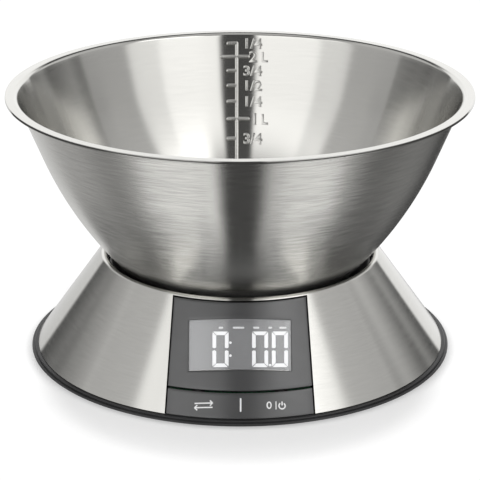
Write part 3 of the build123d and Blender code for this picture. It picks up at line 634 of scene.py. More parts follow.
@dataclass(frozen=True)
class Striped(Finish):
    """Two colours in stripes along x, such as a banded connector or copper tracks under green lacquer.

    Attributes:
        first: The ground's colour.
        second: The stripes' colour.
        stripes: Stripes to the metre.
        wander: How far the stripes stray, as tracks do.
        roughness: Mean roughness.
    """

    first: Colour = (0.02, 0.12, 0.05, 1.0)
    second: Colour = (0.03, 0.19, 0.08, 1.0)
    stripes: float = 500.0
    wander: float = 0.0
    roughness: float = 0.35

    def inputs(self, graph: Graph) -> dict[str, Any]:
        """Stripes from sin(x), moved by noise."""
        place = graph.place()
        x, _, _ = graph.split(place)
        stray = graph.noise(place, STRAY, 1.0) * self.wander
        wave = graph.math("SINE", x * (2 * pi * self.stripes) + stray)
        stripe = graph.ramp(wave, -0.2, 0.2)
        fleck = graph.noise(place, FLECK)
        return {
            "Base Color": graph.mix(stripe, self.first, self.second),
            "Roughness": (fleck - 0.5) * 0.15 + self.roughness,
            "Normal": graph.bump(stripe, 0.15, 0.0001),
        }


@dataclass(frozen=True)
class BatteryWrap(Finish):
    """A plain printed foil with a bright band near one end.

    Attributes:
        band: Where the band starts along x, in metres.
        side: Which way it goes from there.
    """

    band: float = 0.0
    side: float = 1.0

    def inputs(self, graph: Graph) -> dict[str, Any]:
        """Varnished dark foil, a copper-coloured band, and faint rolling marks."""
        x, _, _ = graph.split(graph.place())
        share = graph.ramp((x - self.band) * self.side, -0.0002, 0.0002)
        marks = graph.stretched(1500.0, 60.0, 60.0)
        return {
            "Coat Weight": 0.6,
            "Coat Roughness": 0.1,
            "Base Color": graph.mix(share, (0.025, 0.027, 0.03, 1.0), (0.45, 0.2, 0.07, 1.0)),
            "Metallic": share * 0.8,
            "Roughness": marks * 0.15 + 0.3,
        }


STEEL_OUTSIDE = BrushedSteel(
    "steel_bowl_outside", colour=0.67, roughness=0.22, spread=0.05, contrast=0.09, relief=0.18
)
STEEL_INSIDE = BrushedSteel(
    "steel_bowl_inside", colour=0.56, roughness=0.15, spread=0.02, contrast=0.02, relief=0.02
)
STEEL_RIM = BrushedSteel(
    "steel_bowl_rim", colour=0.56, roughness=0.1, spread=0.02, contrast=0.02, relief=0.01
)
STEEL_RAISED = BrushedSteel(
    "steel_raised_marks", colour=0.53, roughness=0.3, spread=0.06, contrast=0.05, anisotropy=0.3
)
STEEL_CONE = BrushedSteel(
    "steel_cover", colour=0.576, roughness=0.15, spread=0.03, contrast=0.03, lean=-1.0, relief=0.03
)
PANEL = GlossPanel("panel_gloss")
KEY = GlossPanel("key_gloss", colour=0.044, roughness=0.36)
BLACK = GrainPlastic("black_moulding")
SEAL_WHITE = GrainPlastic("white_silicone", colour=(0.78, 0.78, 0.75, 1.0), roughness=0.5, grain=900.0)
CHIP = GrainPlastic("chip_moulding", colour=(0.03, 0.03, 0.03, 1.0), roughness=0.55)
SHEATH = GrainPlastic("lead_sheath", colour=(0.28, 0.03, 0.03, 1.0), roughness=0.4, grain=1200.0, relief=0.05)
GUIDE = GrainPlastic("light_guide", colour=(0.82, 0.83, 0.84, 1.0), roughness=0.3, grain=700.0, relief=0.2)
RUBBER = GrainPlastic(
    "foot_rubber", colour=(0.035, 0.035, 0.036, 1.0), roughness=0.7, grain=1800.0, relief=0.2
)
WINDOW = ClearWindow("clear_window")
FACE = DisplayFace("display_face")
LIT = LitSegment("lit_segment")
FLAG = LitSegment("lit_flag", level=0.42)
INK = WhiteInk("white_ink")
ZINC = PlainMetal("zinc_plate", colour=(0.6, 0.6, 0.58, 1.0))
NICKEL = PlainMetal("nickel_plate", colour=(0.66, 0.64, 0.59, 1.0), roughness=0.22)
ALUMINIUM = PlainMetal("milled_aluminium", colour=(0.72, 0.72, 0.73, 1.0), roughness=0.38, marks=900.0)
LACQUER = Striped("board_lacquer", wander=14.0)
STRIP = Striped("banded_strip", (0.3, 0.12, 0.12, 1.0), (0.03, 0.03, 0.03, 1.0), 1600.0, 0.0, 0.6)
WRAP_FRONT = BatteryWrap("battery_wrap_front", band=0.0105, side=1.0)
WRAP_REAR = BatteryWrap("battery_wrap_rear", band=-0.0105, side=-1.0)


# Pieces


def mesh_of(name: str, surface: Surface) -> bpy.types.Mesh:
    """A new mesh of a surface, in metres."""
    mesh = bpy.data.meshes.new(name)
    mesh.from_pydata((surface.points * MM).tolist(), [], surface.quads.tolist() + surface.tris.tolist())
    return mesh


def add_piece(
    name: str,
    surface: Surface,
    finishes: Sequence[Finish],
    body: Body | None,
    replaces: Sequence[str] = (),
    sharp: float = 32.0,
) -> bpy.types.Object:
    """Puts a surface into the scene as a piece of the scale.

    Args:
        name: The piece's name.
        surface: Its shape, in millimetres.
        finishes: Its finishes, by the surface's bands.
        body: The CAD body that it rides on, or None for a piece that bends between two.
        replaces: The CAD nodes that it stands for.
        sharp: The angle, in degrees, past which an edge stays sharp.

    Returns:
        The object.
    """
    mesh = mesh_of(name, surface)
    for finish in finishes:
        mesh.materials.append(finish.material())
    if surface.bands is not None:
        ends = np.zeros(len(surface.tris), np.int32)
        ends[len(ends) // 2 :] = len(finishes) - 1
        mesh.polygons.foreach_set("material_index", np.concatenate([surface.bands, ends]).astype(np.int32))
    shaped = bmesh.new()
    shaped.from_mesh(mesh)
    bmesh.ops.remove_doubles(shaped, verts=shaped.verts, dist=1e-7)
    bmesh.ops.recalc_face_normals(shaped, faces=shaped.faces)
    shaped.to_mesh(mesh)
    shaped.free()
    mesh.polygons.foreach_set("use_smooth", np.ones(len(mesh.polygons), bool))
    mesh.set_sharp_from_angle(angle=radians(sharp))
    piece = bpy.data.objects.new(name, mesh)
    bpy.context.scene.collection.objects.link(piece)
    if body:
        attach(piece, body.value)
    if replaces:
        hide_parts(*replaces)
    LOG.info("%s: %d faces on %s", name, len(mesh.polygons), body.value if body else "two bodies")
    return piece


def dress(node: str, finish: Finish) -> None:
    """Gives a CAD node, whose shape is right, its finish."""
    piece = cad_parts[node]
    if not piece.material_slots:
        piece.data.materials.append(None)
    for slot in piece.material_slots:
        slot.material = finish.material()
    LOG.info("%s: dressed in %s", node, finish.name)


@dataclass
class Bowl:
    """The pressed steel bowl with a hemmed rim, and the raised litre marks on its back wall.

    Attributes:
        seat: Height of the bowl's underside.
        floor: Radius of its flat floor.
        knuckle: Radius of the bend round the floor.
        shoulder: Angle of the wall to the upright where that bend ends, in degrees.
        bow: Radius of the bowed wall.
        wall: Angle of the straight wall to the upright, in degrees.
        straight: Height of the straight wall with the rim.
        sheet: Thickness of the sheet.
        rim_bend: Radius of the bend under the rim.
        rim_flat: Width of the flat rim up to its hem.
        hem_bend: Inside radius of the hem.
        hem: Width of the folded hem.
        edge_lean: Lean of the hem's pressed outer face, in degrees.
        edge_rounds: Radii of that face's lower and upper edges.
        segments: Steps of the full turn.
        mark_x: Sideways place of the upright line.
        mark_half: Half the width of a rib.
        mark_raise: How far a rib stands off the wall.
        mark_sink: How far its edge lies in the wall.
        tail: Length of the upright line below the lowest mark.
        tick: Length of a tick to the left.
        long_tick: Length of a whole litre's tick to the right.
        longest_tick: Length of the top litre's tick to the left.
        figure_sizes: Type sizes of whole litres and of fractions.
        figure_raise: Depth of the figures.
        figure_lift: How far their middle stands off the wall.
        figure_stretch: How much wider than the plain typeface they are.
        figure_drop: How far their middle lies below the mark.
        unit: Type size and depth of the L behind a whole litre.
        unit_x: Where it starts.
        marks: For each mark its litres, its figures and where these start.
    """

    seat: float = 35.6
    floor: float = 35.99
    knuckle: float = 34.0
    shoulder: float = 44.16
    bow: float = 189.9
    wall: float = 22.04
    straight: float = 29.9
    sheet: float = 0.6
    rim_bend: float = 2.0
    rim_flat: float = 3.4
    hem_bend: float = 0.12
    hem: float = 2.6
    edge_lean: float = 8.0
    edge_rounds: Pair = (0.4, 0.2)
    segments: int = 360
    mark_x: float = -1.8
    mark_half: float = 1.0
    mark_raise: float = 0.5
    mark_sink: float = 0.05
    tail: float = 12.0
    tick: float = 5.8
    long_tick: float = 6.3
    longest_tick: float = 9.2
    figure_sizes: Pair = (8.4, 7.6)
    figure_raise: float = 0.34
    figure_lift: float = 0.1
    figure_stretch: float = 1.1
    figure_drop: float = 0.3
    unit: Pair = (7.6, 0.26)
    unit_x: float = 11.6
    marks: tuple[tuple[float, str, float], ...] = (
        (0.75, "3/4", 1.6), (1.0, "1", 5.9), (1.25, "1/4", 1.6), (1.5, "1/2", 1.6),
        (1.75, "3/4", 1.6), (2.0, "2", 5.0), (2.25, "1/4", 1.6),
    )

    def bow_centre(self) -> Pair:
        """Radius and height of the bowed wall's centre."""
        reach = self.bow - self.knuckle
        lean = radians(90 - self.shoulder)
        return self.floor - reach * sin(lean), self.seat + self.knuckle + reach * cos(lean)

    def straight_foot(self) -> Pair:
        """Radius and height where the outside of the straight wall starts."""
        r, z = self.bow_centre()
        return r + self.bow * cos(radians(self.wall)), z - self.bow * sin(radians(self.wall))

    def inner_radius(self, height: np.ndarray) -> np.ndarray:
        """Radius of the inside at a height: the knuckle's arc, the bow's arc, then the straight wall."""
        r, z = self.bow_centre()
        foot_r, foot_z = self.straight_foot()
        slope = tan(radians(self.wall))
        bow = self.bow - self.sheet
        bowed = r + np.sqrt(np.maximum(bow**2 - (z - height) ** 2, 0))
        straight = foot_r + (height - foot_z) * slope - self.sheet / cos(radians(self.wall))
        knuckle = self.knuckle - self.sheet
        drop = np.clip(self.seat + self.knuckle - height, -knuckle, knuckle)
        round_foot = self.floor + np.sqrt(knuckle**2 - drop**2)
        bow_foot = self.seat + self.knuckle * (1 - sin(radians(self.shoulder)))
        return np.where(height < bow_foot, round_foot, np.where(height < foot_z, bowed, straight))

    def fill_height(self, litres: float) -> float:
        """Height of the surface of so many litres, from the summed slices pi * r^2 * dz."""
        height = np.linspace(self.seat + self.sheet, self.seat + 100.0, 20001)
        step = height[1] - height[0]
        held = np.cumsum(pi * self.inner_radius(height + step / 2) ** 2 * step) / 1e6
        return float(np.interp(litres, held, height + step))

    def profile(self) -> tuple[np.ndarray, np.ndarray]:
        """The section from the outside of the floor round the rim to the inside of the floor.

        Returns:
            The section's points, and for each step whether it is outside (0), on the rim (1) or inside (2).
        """
        centre_r, centre_z = self.bow_centre()
        foot_r, foot_z = self.straight_foot()
        turn = self.wall
        rise = self.straight - self.sheet - self.rim_bend * (1 - sin(radians(turn)))
        top_r, top_z = foot_r + rise * tan(radians(turn)), foot_z + rise
        bend_r = top_r + self.rim_bend * cos(radians(turn))
        bend_z = top_z - self.rim_bend * sin(radians(turn))
        flat_z = bend_z + self.rim_bend
        hem_r, hem_z = bend_r + self.rim_flat, flat_z - self.hem_bend
        knuckle_z = self.seat + self.knuckle
        thick = self.sheet
        tip = self.hem_bend + thick
        fold_r, fold_z = hem_r - self.hem, hem_z - self.hem_bend
        low, high = self.edge_rounds
        edge_r = hem_r + tip - low
        fall = (2 * tip - low - high) * tan(radians(self.edge_lean))
        outside = profile_of(
            run((0, self.seat), (self.floor, self.seat), 10),
            bend((self.floor, knuckle_z), self.knuckle, -90, -self.shoulder, 22),
            bend((centre_r, centre_z), self.bow, -self.shoulder, -turn, 36),
            run((foot_r, foot_z), (top_r, top_z), 18),
        )
        rim = profile_of(
            bend((bend_r, bend_z), self.rim_bend, 180 - turn, 90, 8),
            run((bend_r, flat_z), (hem_r, flat_z), 4),
            bend((hem_r, hem_z), self.hem_bend, 90, -90, 6),
            run((hem_r, fold_z), (fold_r, fold_z), 4),
            run((fold_r, fold_z), (fold_r, hem_z - tip), 1),
            run((fold_r, hem_z - tip), (hem_r, hem_z - tip), 4),
            bend((edge_r, hem_z - tip + low), low, -90, self.edge_lean, 6),
            bend((edge_r + low - high - fall, hem_z + tip - high), high, self.edge_lean, 90, 6),
            run((hem_r, hem_z + tip), (bend_r, flat_z + thick), 6),
            bend((bend_r, bend_z), self.rim_bend + thick, 90, 180 - turn, 8),
        )
        inside = profile_of(
            run(self.inset(top_r, top_z), self.inset(foot_r, foot_z), 18),
            bend((centre_r, centre_z), self.bow - thick, -turn, -self.shoulder, 36),
            bend((self.floor, knuckle_z), self.knuckle - thick, -self.shoulder, -90, 22),
            run((self.floor, self.seat + thick), (0, self.seat + thick), 10),
        )
        section = profile_of(outside, rim, inside)
        steps = [len(outside) - 1, len(rim) - 1, len(inside) - 1]
        return section, np.repeat([0, 1, 2], steps)

    def inset(self, r: float, z: float) -> Pair:
        """The inside of the straight wall opposite a point on its outside."""
        turn = radians(self.wall)
        return r - self.sheet * cos(turn), z + self.sheet * sin(turn)

    def on_wall(self, x: np.ndarray, height: np.ndarray, up: np.ndarray) -> np.ndarray:
        """Points on the inside of the back wall: (x, sqrt(r(z)^2 - x^2), z), moved off it by up.

        Args:
            x: Sideways place.
            height: Height above the floor.
            up: How far the point stands off the wall.

        Returns:
            The points.
        """
        radius = self.inner_radius(height)
        lean = (self.inner_radius(height + 0.01) - radius) / 0.01
        y = np.sqrt(radius**2 - x**2)
        length = np.sqrt(1 + lean**2)
        normal = np.stack([-x / radius / length, -y / radius / length, lean / length], axis=-1)
        return np.stack([x, y, height], axis=-1) + normal * up[..., None]

    def ridge(self, start: Pair, end: Pair) -> Surface:
        """A raised rib with round ends: at share s from its middle line to its edge it stands
        raise * (1 - s^2)^(1/2) off the wall.

        Args:
            start: Sideways place and height of one end of the middle line.
            end: The same for the other end.

        Returns:
            The rib.
        """
        a, b = np.array(start), np.array(end)
        along = (b - a) / np.linalg.norm(b - a)
        beside = np.array([-along[1], along[0]])
        turn = np.linspace(-pi / 2, pi / 2, 11)
        cap = np.outer(np.cos(turn), along) + np.outer(np.sin(turn), beside)
        count = 48
        side = np.tile(beside, (count, 1))
        edge = np.concatenate([-cap, -side, cap, side])
        line = np.concatenate([0 * cap + a, np.linspace(a, b, count), 0 * cap + b, np.linspace(b, a, count)])
        share = np.sin(np.linspace(0, pi / 2, 9))[:, None, None]
        flat = line + edge * share * self.mark_half
        up = self.mark_raise * np.sqrt(np.maximum(1 - share[..., 0] ** 2, 0)) - self.mark_sink
        return grid(self.on_wall(flat[..., 0], flat[..., 1], up), closed_columns=True)

    def ribs(self) -> Surface:
        """The upright line and a tick for each mark; whole litres cross the line."""
        levels = [self.fill_height(litres) for litres, _, _ in self.marks]
        made = [self.ridge((self.mark_x, levels[0] - self.tail), (self.mark_x, levels[-1]))]
        for (litres, _, _), level in zip(self.marks, levels):
            reach = self.longest_tick if litres == 2.0 else self.tick
            right = self.mark_x + (self.long_tick if litres == int(litres) else 0.0)
            made.append(self.ridge((self.mark_x - reach + self.mark_half, level), (right, level)))
        return joined(made)

    def figures(self) -> Surface:
        """Plain raised figures beside the ticks: text x goes sideways, text y up the wall."""
        made = []
        for litres, body, start in self.marks:
            whole = litres == int(litres)
            flat = lettering(body, self.figure_sizes[0 if whole else 1], self.figure_raise)
            flat.points[:, 0] *= self.figure_stretch
            level = self.fill_height(litres) - self.figure_drop
            made.append(self.laid(flat, start, level))
            if whole:
                made.append(self.laid(lettering("L", *self.unit), self.unit_x, level))
        return joined(made)

    def laid(self, flat: Surface, x: float, height: float) -> Surface:
        """Flat figures laid on the wall at a place."""
        rise = cos(radians(self.wall))
        p = flat.points
        points = self.on_wall(p[:, 0] + x, p[:, 1] * rise + height, p[:, 2] + self.figure_lift)
        return Surface(points, flat.quads, flat.tris)

    def build(self) -> None:
        """Makes the bowl, its ribs and its figures."""
        section, bands = self.profile()
        shell = lathe(section, self.segments, bands)
        finishes = [STEEL_OUTSIDE, STEEL_RIM, STEEL_INSIDE]
        add_piece("mixing_bowl", shell, finishes, Body.BOWL, ["bowl"])
        add_piece("litre_ribs", self.ribs(), [STEEL_RAISED], Body.BOWL, sharp=60.0)
        add_piece("litre_figures", self.figures(), [STEEL_RAISED], Body.BOWL, sharp=40.0)


@dataclass
class Front:
    """The sloped front of the base: x to the right, v up the slope from the key line.

    Attributes:
        foot_radius: Radius of the steel's outside at its lower edge.
        foot: Height of that edge.
        angle: Slope of the cone, in degrees.
        key_line: Height of the line between the panel and the key.
        width: Width of the notch in the steel at that line.
        taper: Lean of the notch's sides, in degrees.
        gap: Clearance round the panel and the key.
    """

    foot_radius: float = 105.23
    foot: float = 3.6
    angle: float = 54.9
    key_line: float = 14.6
    width: float = 71.2
    taper: float = 3.4
    gap: float = 0.6

    @property
    def slope(self) -> Pair:
        """Sine and cosine of the slope."""
        return sin(radians(self.angle)), cos(radians(self.angle))

    def radius(self, height: Numbers) -> Numbers:
        """Radius of the cone at a height."""
        return self.foot_radius - (height - self.foot) / tan(radians(self.angle))

    def half_width(self, v: Numbers, margin: float = 0.0) -> Numbers:
        """Half the notch's width up the slope, moved out by a margin."""
        return self.width / 2 + margin - v * tan(radians(self.taper))

    def rise_at(self, x: Numbers, height: Numbers) -> Numbers:
        """v of the cone's point with this x and this height."""
        y = -np.sqrt(self.radius(height) ** 2 - x**2)
        s, c = self.slope
        return (y + self.radius(self.key_line)) * c + (height - self.key_line) * s

    def edge_x(self, height: Numbers, margin: float = 0.0) -> Numbers:
        """x of the notch's side at a height, found by putting x = half_width(v(x)) into itself."""
        x = self.half_width(0.0, margin) + 0.0 * height
        for _ in range(8):
            x = self.half_width(self.rise_at(x, height), margin)
        return x

    def flat(self, x: np.ndarray, v: np.ndarray, depth: Numbers) -> np.ndarray:
        """Points on the flat plane that touches the cone along x = 0, moved inwards by a depth."""
        s, c = self.slope
        y = -self.radius(self.key_line) + c * v + s * depth
        z = self.key_line + s * v - c * depth
        return np.stack(np.broadcast_arrays(x, y, z), axis=-1)

    def on_cone(self, x: np.ndarray, v: np.ndarray, depth: Numbers = 0.0) -> np.ndarray:
        """Points on the cone, seen square to the front, moved inwards along its normal by a depth.

        The drop w behind the flat plane solves x^2 + (a + s w)^2 = (a - c^2 w / s)^2, a = R - c v.
        """
        s, c = self.slope
        a = self.radius(self.key_line) - c * v
        square, line = (s * s - c * c) / (s * s), 2 * a / s
        w = (-line + np.sqrt(line**2 - 4 * square * x**2)) / (2 * square)
        points = self.flat(x, v, -w)
        return points - np.asarray(depth)[..., None] * self.normal(points)

    def normal(self, points: np.ndarray) -> np.ndarray:
        """The cone's outward normal at points."""
        s, c = self.slope
        out = points[..., :2] / np.linalg.norm(points[..., :2], axis=-1, keepdims=True)
        return np.concatenate([out * s, np.full(out.shape[:-1] + (1,), c)], axis=-1)

    def slab(self, low: float, high: float, wall: float, rounding: float) -> Surface:
        """A strip of the cone between two heights and the notch's sides, with rounded edges.

        With a, b from -1 to 1 over the strip, the edge drops by r - sqrt(r^2 - (r - d)^2) within r of it.

        Args:
            low: Height of the lower edge.
            high: Height of the upper edge.
            wall: Thickness.
            rounding: Radius r of the edges.

        Returns:
            The closed strip.
        """
        fine = rounding * (1 - np.cos(np.linspace(0, pi / 2, 5)))
        x_edge = float(self.edge_x((low + high) / 2, -self.gap))
        middle = np.linspace(-x_edge, x_edge, 90)[4:-4]
        across = np.concatenate([fine - x_edge, middle, (x_edge - fine)[::-1]])
        tall = (high - low) / sin(radians(self.angle))
        up = np.concatenate([fine, np.linspace(0, tall, 34)[4:-4], (tall - fine)[::-1]])
        share, height = across / x_edge, low + up / tall * (high - low)
        z = np.repeat(height[:, None], len(share), axis=1)
        x = share[None, :] * self.edge_x(z, -self.gap)
        near = np.minimum(x_edge - np.abs(across)[None, :], np.minimum(up, tall - up)[:, None])
        lack = np.maximum(rounding - near, 0.0)
        drop = rounding - np.sqrt(np.maximum(rounding**2 - lack**2, 0.0))
        points = self.on_cone(x, self.rise_at(x, z), drop)
        front = grid(points)
        return front.thickened(self.normal(front.points), wall - rounding)


@dataclass
class SteelCover:
    """The steel cone with its rolled top edge, notched for the panel and the key.

    Attributes:
        front: The sloped front that the notch follows.
        sheet: Thickness of the sheet.
        roll: Outside radius of the rolled edge.
        lip: Radius of the turned-in edge.
        lip_height: Straight part of that edge.
        notch_drop: Height of the steel left over the notch.
        columns: Steps from one side of the notch round the back to the other.
        front_columns: Steps over the notch.
    """

    front: Front
    sheet: float = 0.5
    roll: float = 2.0
    lip: float = 68.0706
    lip_height: float = 3.0
    notch_drop: float = 0.1
    columns: int = 420
    front_columns: int = 70

    def roll_centre(self) -> Pair:
        """Radius and height of the rolled edge's centre."""
        s, c = self.front.slope
        r = self.lip + self.roll
        return r, self.front.foot + (s * (self.front.foot_radius - r) - self.roll) / c

    def slope_top(self) -> float:
        """Height where the slope runs into the rolled edge."""
        return self.roll_centre()[1] + self.roll * cos(radians(self.front.angle))

    def notch_top(self) -> float:
        """Height of the notch's upper edge."""
        return self.slope_top() - self.notch_drop

    def shell(self) -> Surface:
        """Outside of the cover: rows up the slope, over the roll and down the lip; columns round the axis.

        Below the notch's top the columns run from one side of the notch round the back to the other.
        """
        s, c = self.front.slope
        foot = self.front.foot + self.sheet * c
        low = np.linspace(foot, self.notch_top(), 56)
        high = np.linspace(self.notch_top(), self.slope_top(), 3)[1:]
        slope = np.concatenate([low, high])
        centre_r, centre_z = self.roll_centre()
        turn = np.radians(np.linspace(90 - self.front.angle, 180, 25))[1:]
        fall = np.linspace(0, self.lip_height, 5)[1:]
        cone = self.front.radius(slope)
        r = np.concatenate([cone, centre_r + self.roll * np.cos(turn), 0 * fall + self.lip])
        z = np.concatenate([slope, centre_z + self.roll * np.sin(turn), centre_z - fall])
        out = np.concatenate([0 * slope + s, np.cos(turn), 0 * fall - 1.0])
        rise = np.concatenate([0 * slope + c, np.sin(turn), 0 * fall])
        level = np.minimum(z, self.notch_top())
        level[len(low) :] = self.notch_top()
        edge = np.arcsin(self.front.edge_x(level) / self.front.radius(level))[:, None]
        back = edge + np.linspace(0, 1, self.columns) * (2 * pi - 2 * edge)
        face = 2 * pi - edge + np.linspace(0, 1, self.front_columns + 2)[1:-1] * 2 * edge
        angle = np.concatenate([back, face], axis=1)
        flat_r, flat_z = r[:, None], np.repeat(z[:, None], angle.shape[1], axis=1)
        points = np.stack([flat_r * np.sin(angle), -flat_r * np.cos(angle), flat_z], axis=-1)
        normals = np.stack(
            [out[:, None] * np.sin(angle), -out[:, None] * np.cos(angle), rise[:, None] + 0 * angle], axis=-1
        )
        open_shell = grid(points, closed_columns=True)
        cells = np.arange(len(open_shell.quads)).reshape(len(r) - 1, angle.shape[1])
        keep = np.ones(cells.shape, bool)
        keep[: len(low) - 1, self.columns - 1 :] = False
        open_shell.quads = open_shell.quads[keep.ravel()]
        return open_shell.thickened(normals.reshape(-1, 3), self.sheet).compact()

    def build(self) -> None:
        """Makes the cover."""
        add_piece("steel_cone", self.shell(), [STEEL_CONE], Body.BASE, ["steel_cover"])


@dataclass
class FrontPanel:
    """The dark panel, the clear window in it, and the rocking key under it.

    Attributes:
        front: The sloped front.
        low: Height of the panel's lower edge.
        high: Height of its upper edge.
        wall: Thickness of panel, window and key.
        window: Width and height of the window.
        window_rise: The window's lower edge up the slope.
        seam: Gap round the window.
        key_low: Height of the key's lower edge.
        key_high: Height of its upper edge.
        rounding: Radius of the pieces' front edges.
        per_side: Steps along each side of the panel.
    """

    front: Front
    high: float
    low: float = 15.0
    wall: float = 2.4
    window: Pair = (49.2, 25.0)
    window_rise: float = 10.9
    seam: float = 0.1
    key_low: float = 3.9
    key_high: float = 14.2
    rounding: float = 0.35
    per_side: int = 56

    def outline(self) -> np.ndarray:
        """The panel's edge as x and v, from the lower left corner to the right and round."""
        f, gap = self.front, -self.front.gap
        share = np.linspace(0, 1, self.per_side, endpoint=False)
        tall = self.high - self.low
        up, down = self.low + tall * share, self.high - tall * share
        sides = (
            (f.edge_x(self.low, gap) * (2 * share - 1), self.low),
            (f.edge_x(up, gap), up),
            (f.edge_x(self.high, gap) * (1 - 2 * share), self.high),
            (-f.edge_x(down, gap), down),
        )
        return np.concatenate([np.stack([x, f.rise_at(x, z)], axis=1) for x, z in sides])

    def window_box(self, inset: float) -> tuple[float, float, float]:
        """Half the window's width, its lower edge and its upper edge, drawn in by an inset."""
        low, high = self.window_rise, self.window_rise + self.window[1]
        return self.window[0] / 2 - inset, low + inset, high - inset

    def opening(self, inset: float) -> np.ndarray:
        """The window's edge as x and v, in step with the panel's, drawn in by an inset."""
        half, low, high = self.window_box(inset)
        corners = np.array([[-half, low], [half, low], [half, high], [-half, high]])
        share = np.linspace(0, 1, self.per_side, endpoint=False)[:, None]
        sides = [a + (b - a) * share for a, b in zip(corners, np.roll(corners, -1, axis=0))]
        return np.concatenate(sides)

    def panel(self) -> Surface:
        """A ring between the panel's edge and the window's: each row is one step of its section,
        which goes up the outer side, over a rounded edge, across the front, and down into the opening.
        """
        outer, inner = self.outline(), self.opening(0.0)
        across = inner - outer
        length = np.linalg.norm(across, axis=1, keepdims=True)
        step = across / length
        r, turn = self.rounding, np.linspace(0, pi / 2, 5)
        edge, drop = r * (1 - np.cos(turn)), r * (1 - np.sin(turn))
        rows = [outer] + [outer + step * e for e in edge]
        depth = [self.wall, *drop]
        for share in np.linspace(0, 1, 9)[1:-1]:
            rows.append(outer + step * r + (across - 2 * r * step) * share)
            depth.append(0.0)
        rows += [inner - step * e for e in edge[::-1]] + [inner]
        depth += [*drop[::-1], self.wall]
        flat = np.stack(rows)
        down = np.repeat(np.array(depth)[:, None], flat.shape[1], axis=1)
        points = self.front.on_cone(flat[..., 0], flat[..., 1], down)
        return grid(points, closed_rows=True, closed_columns=True)

    def pane(self) -> Surface:
        """The window: a patch of the cone with the opening's outline, drawn in by the seam."""
        half, low, high = self.window_box(self.seam)
        x, v = np.meshgrid(np.linspace(-half, half, 80), np.linspace(low, high, 40))
        patch = grid(self.front.on_cone(x, v))
        return patch.thickened(self.front.normal(patch.points), self.wall)

    def build(self) -> None:
        """Makes the panel, the window, which other pieces don't mirror, and the key."""
        add_piece("display_panel", self.panel(), [PANEL], Body.BASE, ["front_panel"])
        pane = add_piece("display_pane", self.pane(), [WINDOW], Body.BASE, ["display_window"])
        pane.visible_glossy = False
        bar = self.front.slab(self.key_low, self.key_high, self.wall, self.rounding)
        add_piece("rocking_key", bar, [KEY], Body.KEY, ["key_bar"])


@dataclass
class Print:
    """Flat marks on the front: ribbons along paths and filled shapes, a hair thick.

    Attributes:
        front: The sloped front.
        depth: Depth of the surface that carries the marks.
        curved: Whether that surface is the cone or the flat plane behind it.
        film: Thickness of the marks.
    """

    front: Front
    depth: float
    curved: bool
    film: float = 0.04

    def place(self, x: np.ndarray, v: np.ndarray) -> np.ndarray:
        """The marks' front, a film off the surface that carries them."""
        put = self.front.on_cone if self.curved else self.front.flat
        return put(x, v, np.full(np.shape(x), self.depth - self.film))

    def solid(self, surface: Surface) -> Surface:
        """The marks with their thickness."""
        return surface.thickened(self.front.normal(surface.points), self.film)

    def ribbon(self, path: np.ndarray, width: float, closed: bool = False) -> Surface:
        """A strip along a path: P(i, t) = path_i + t * width * side_i, with t from -1/2 to 1/2."""
        ahead = np.roll(path, -1, axis=0) - np.roll(path, 1, axis=0)
        if not closed:
            ahead[0], ahead[-1] = path[1] - path[0], path[-1] - path[-2]
        ahead /= np.linalg.norm(ahead, axis=1, keepdims=True)
        side = np.stack([-ahead[:, 1], ahead[:, 0]], axis=1)
        rows = np.stack([path + t * width * side for t in (0.5, 0.0, -0.5)], axis=1)
        flat = np.swapaxes(rows, 0, 1)
        return self.solid(grid(self.place(flat[..., 0], flat[..., 1]), closed_columns=closed))

    def polygon(self, corners: np.ndarray) -> Surface:
        """A filled shape with its middle joined to every corner."""
        count = len(corners)
        points = np.concatenate([corners, corners.mean(axis=0, keepdims=True)])
        here = np.arange(count)
        tris = np.stack([np.full(count, count), here, (here + 1) % count], axis=1)
        return self.solid(Surface(self.place(points[:, 0], points[:, 1]), tris=tris))

    def disc(self, x: float, v: float, radius: float) -> Surface:
        """A round dot."""
        return self.polygon(bend((x, v), radius, 0, 360, 24)[:-1])

    def bar(self, x: float, v: float, width: float, height: float) -> Surface:
        """A bar with its corners cut round, by its middle."""
        r = min(width, height) / 2
        parts = []
        for i, (sx, sv) in enumerate(((1, 1), (-1, 1), (-1, -1), (1, -1))):
            corner = (x + sx * (width / 2 - r), v + sv * (height / 2 - r))
            parts.append(bend(corner, r, 90 * i, 90 * (i + 1), 4))
        return self.polygon(np.concatenate(parts))


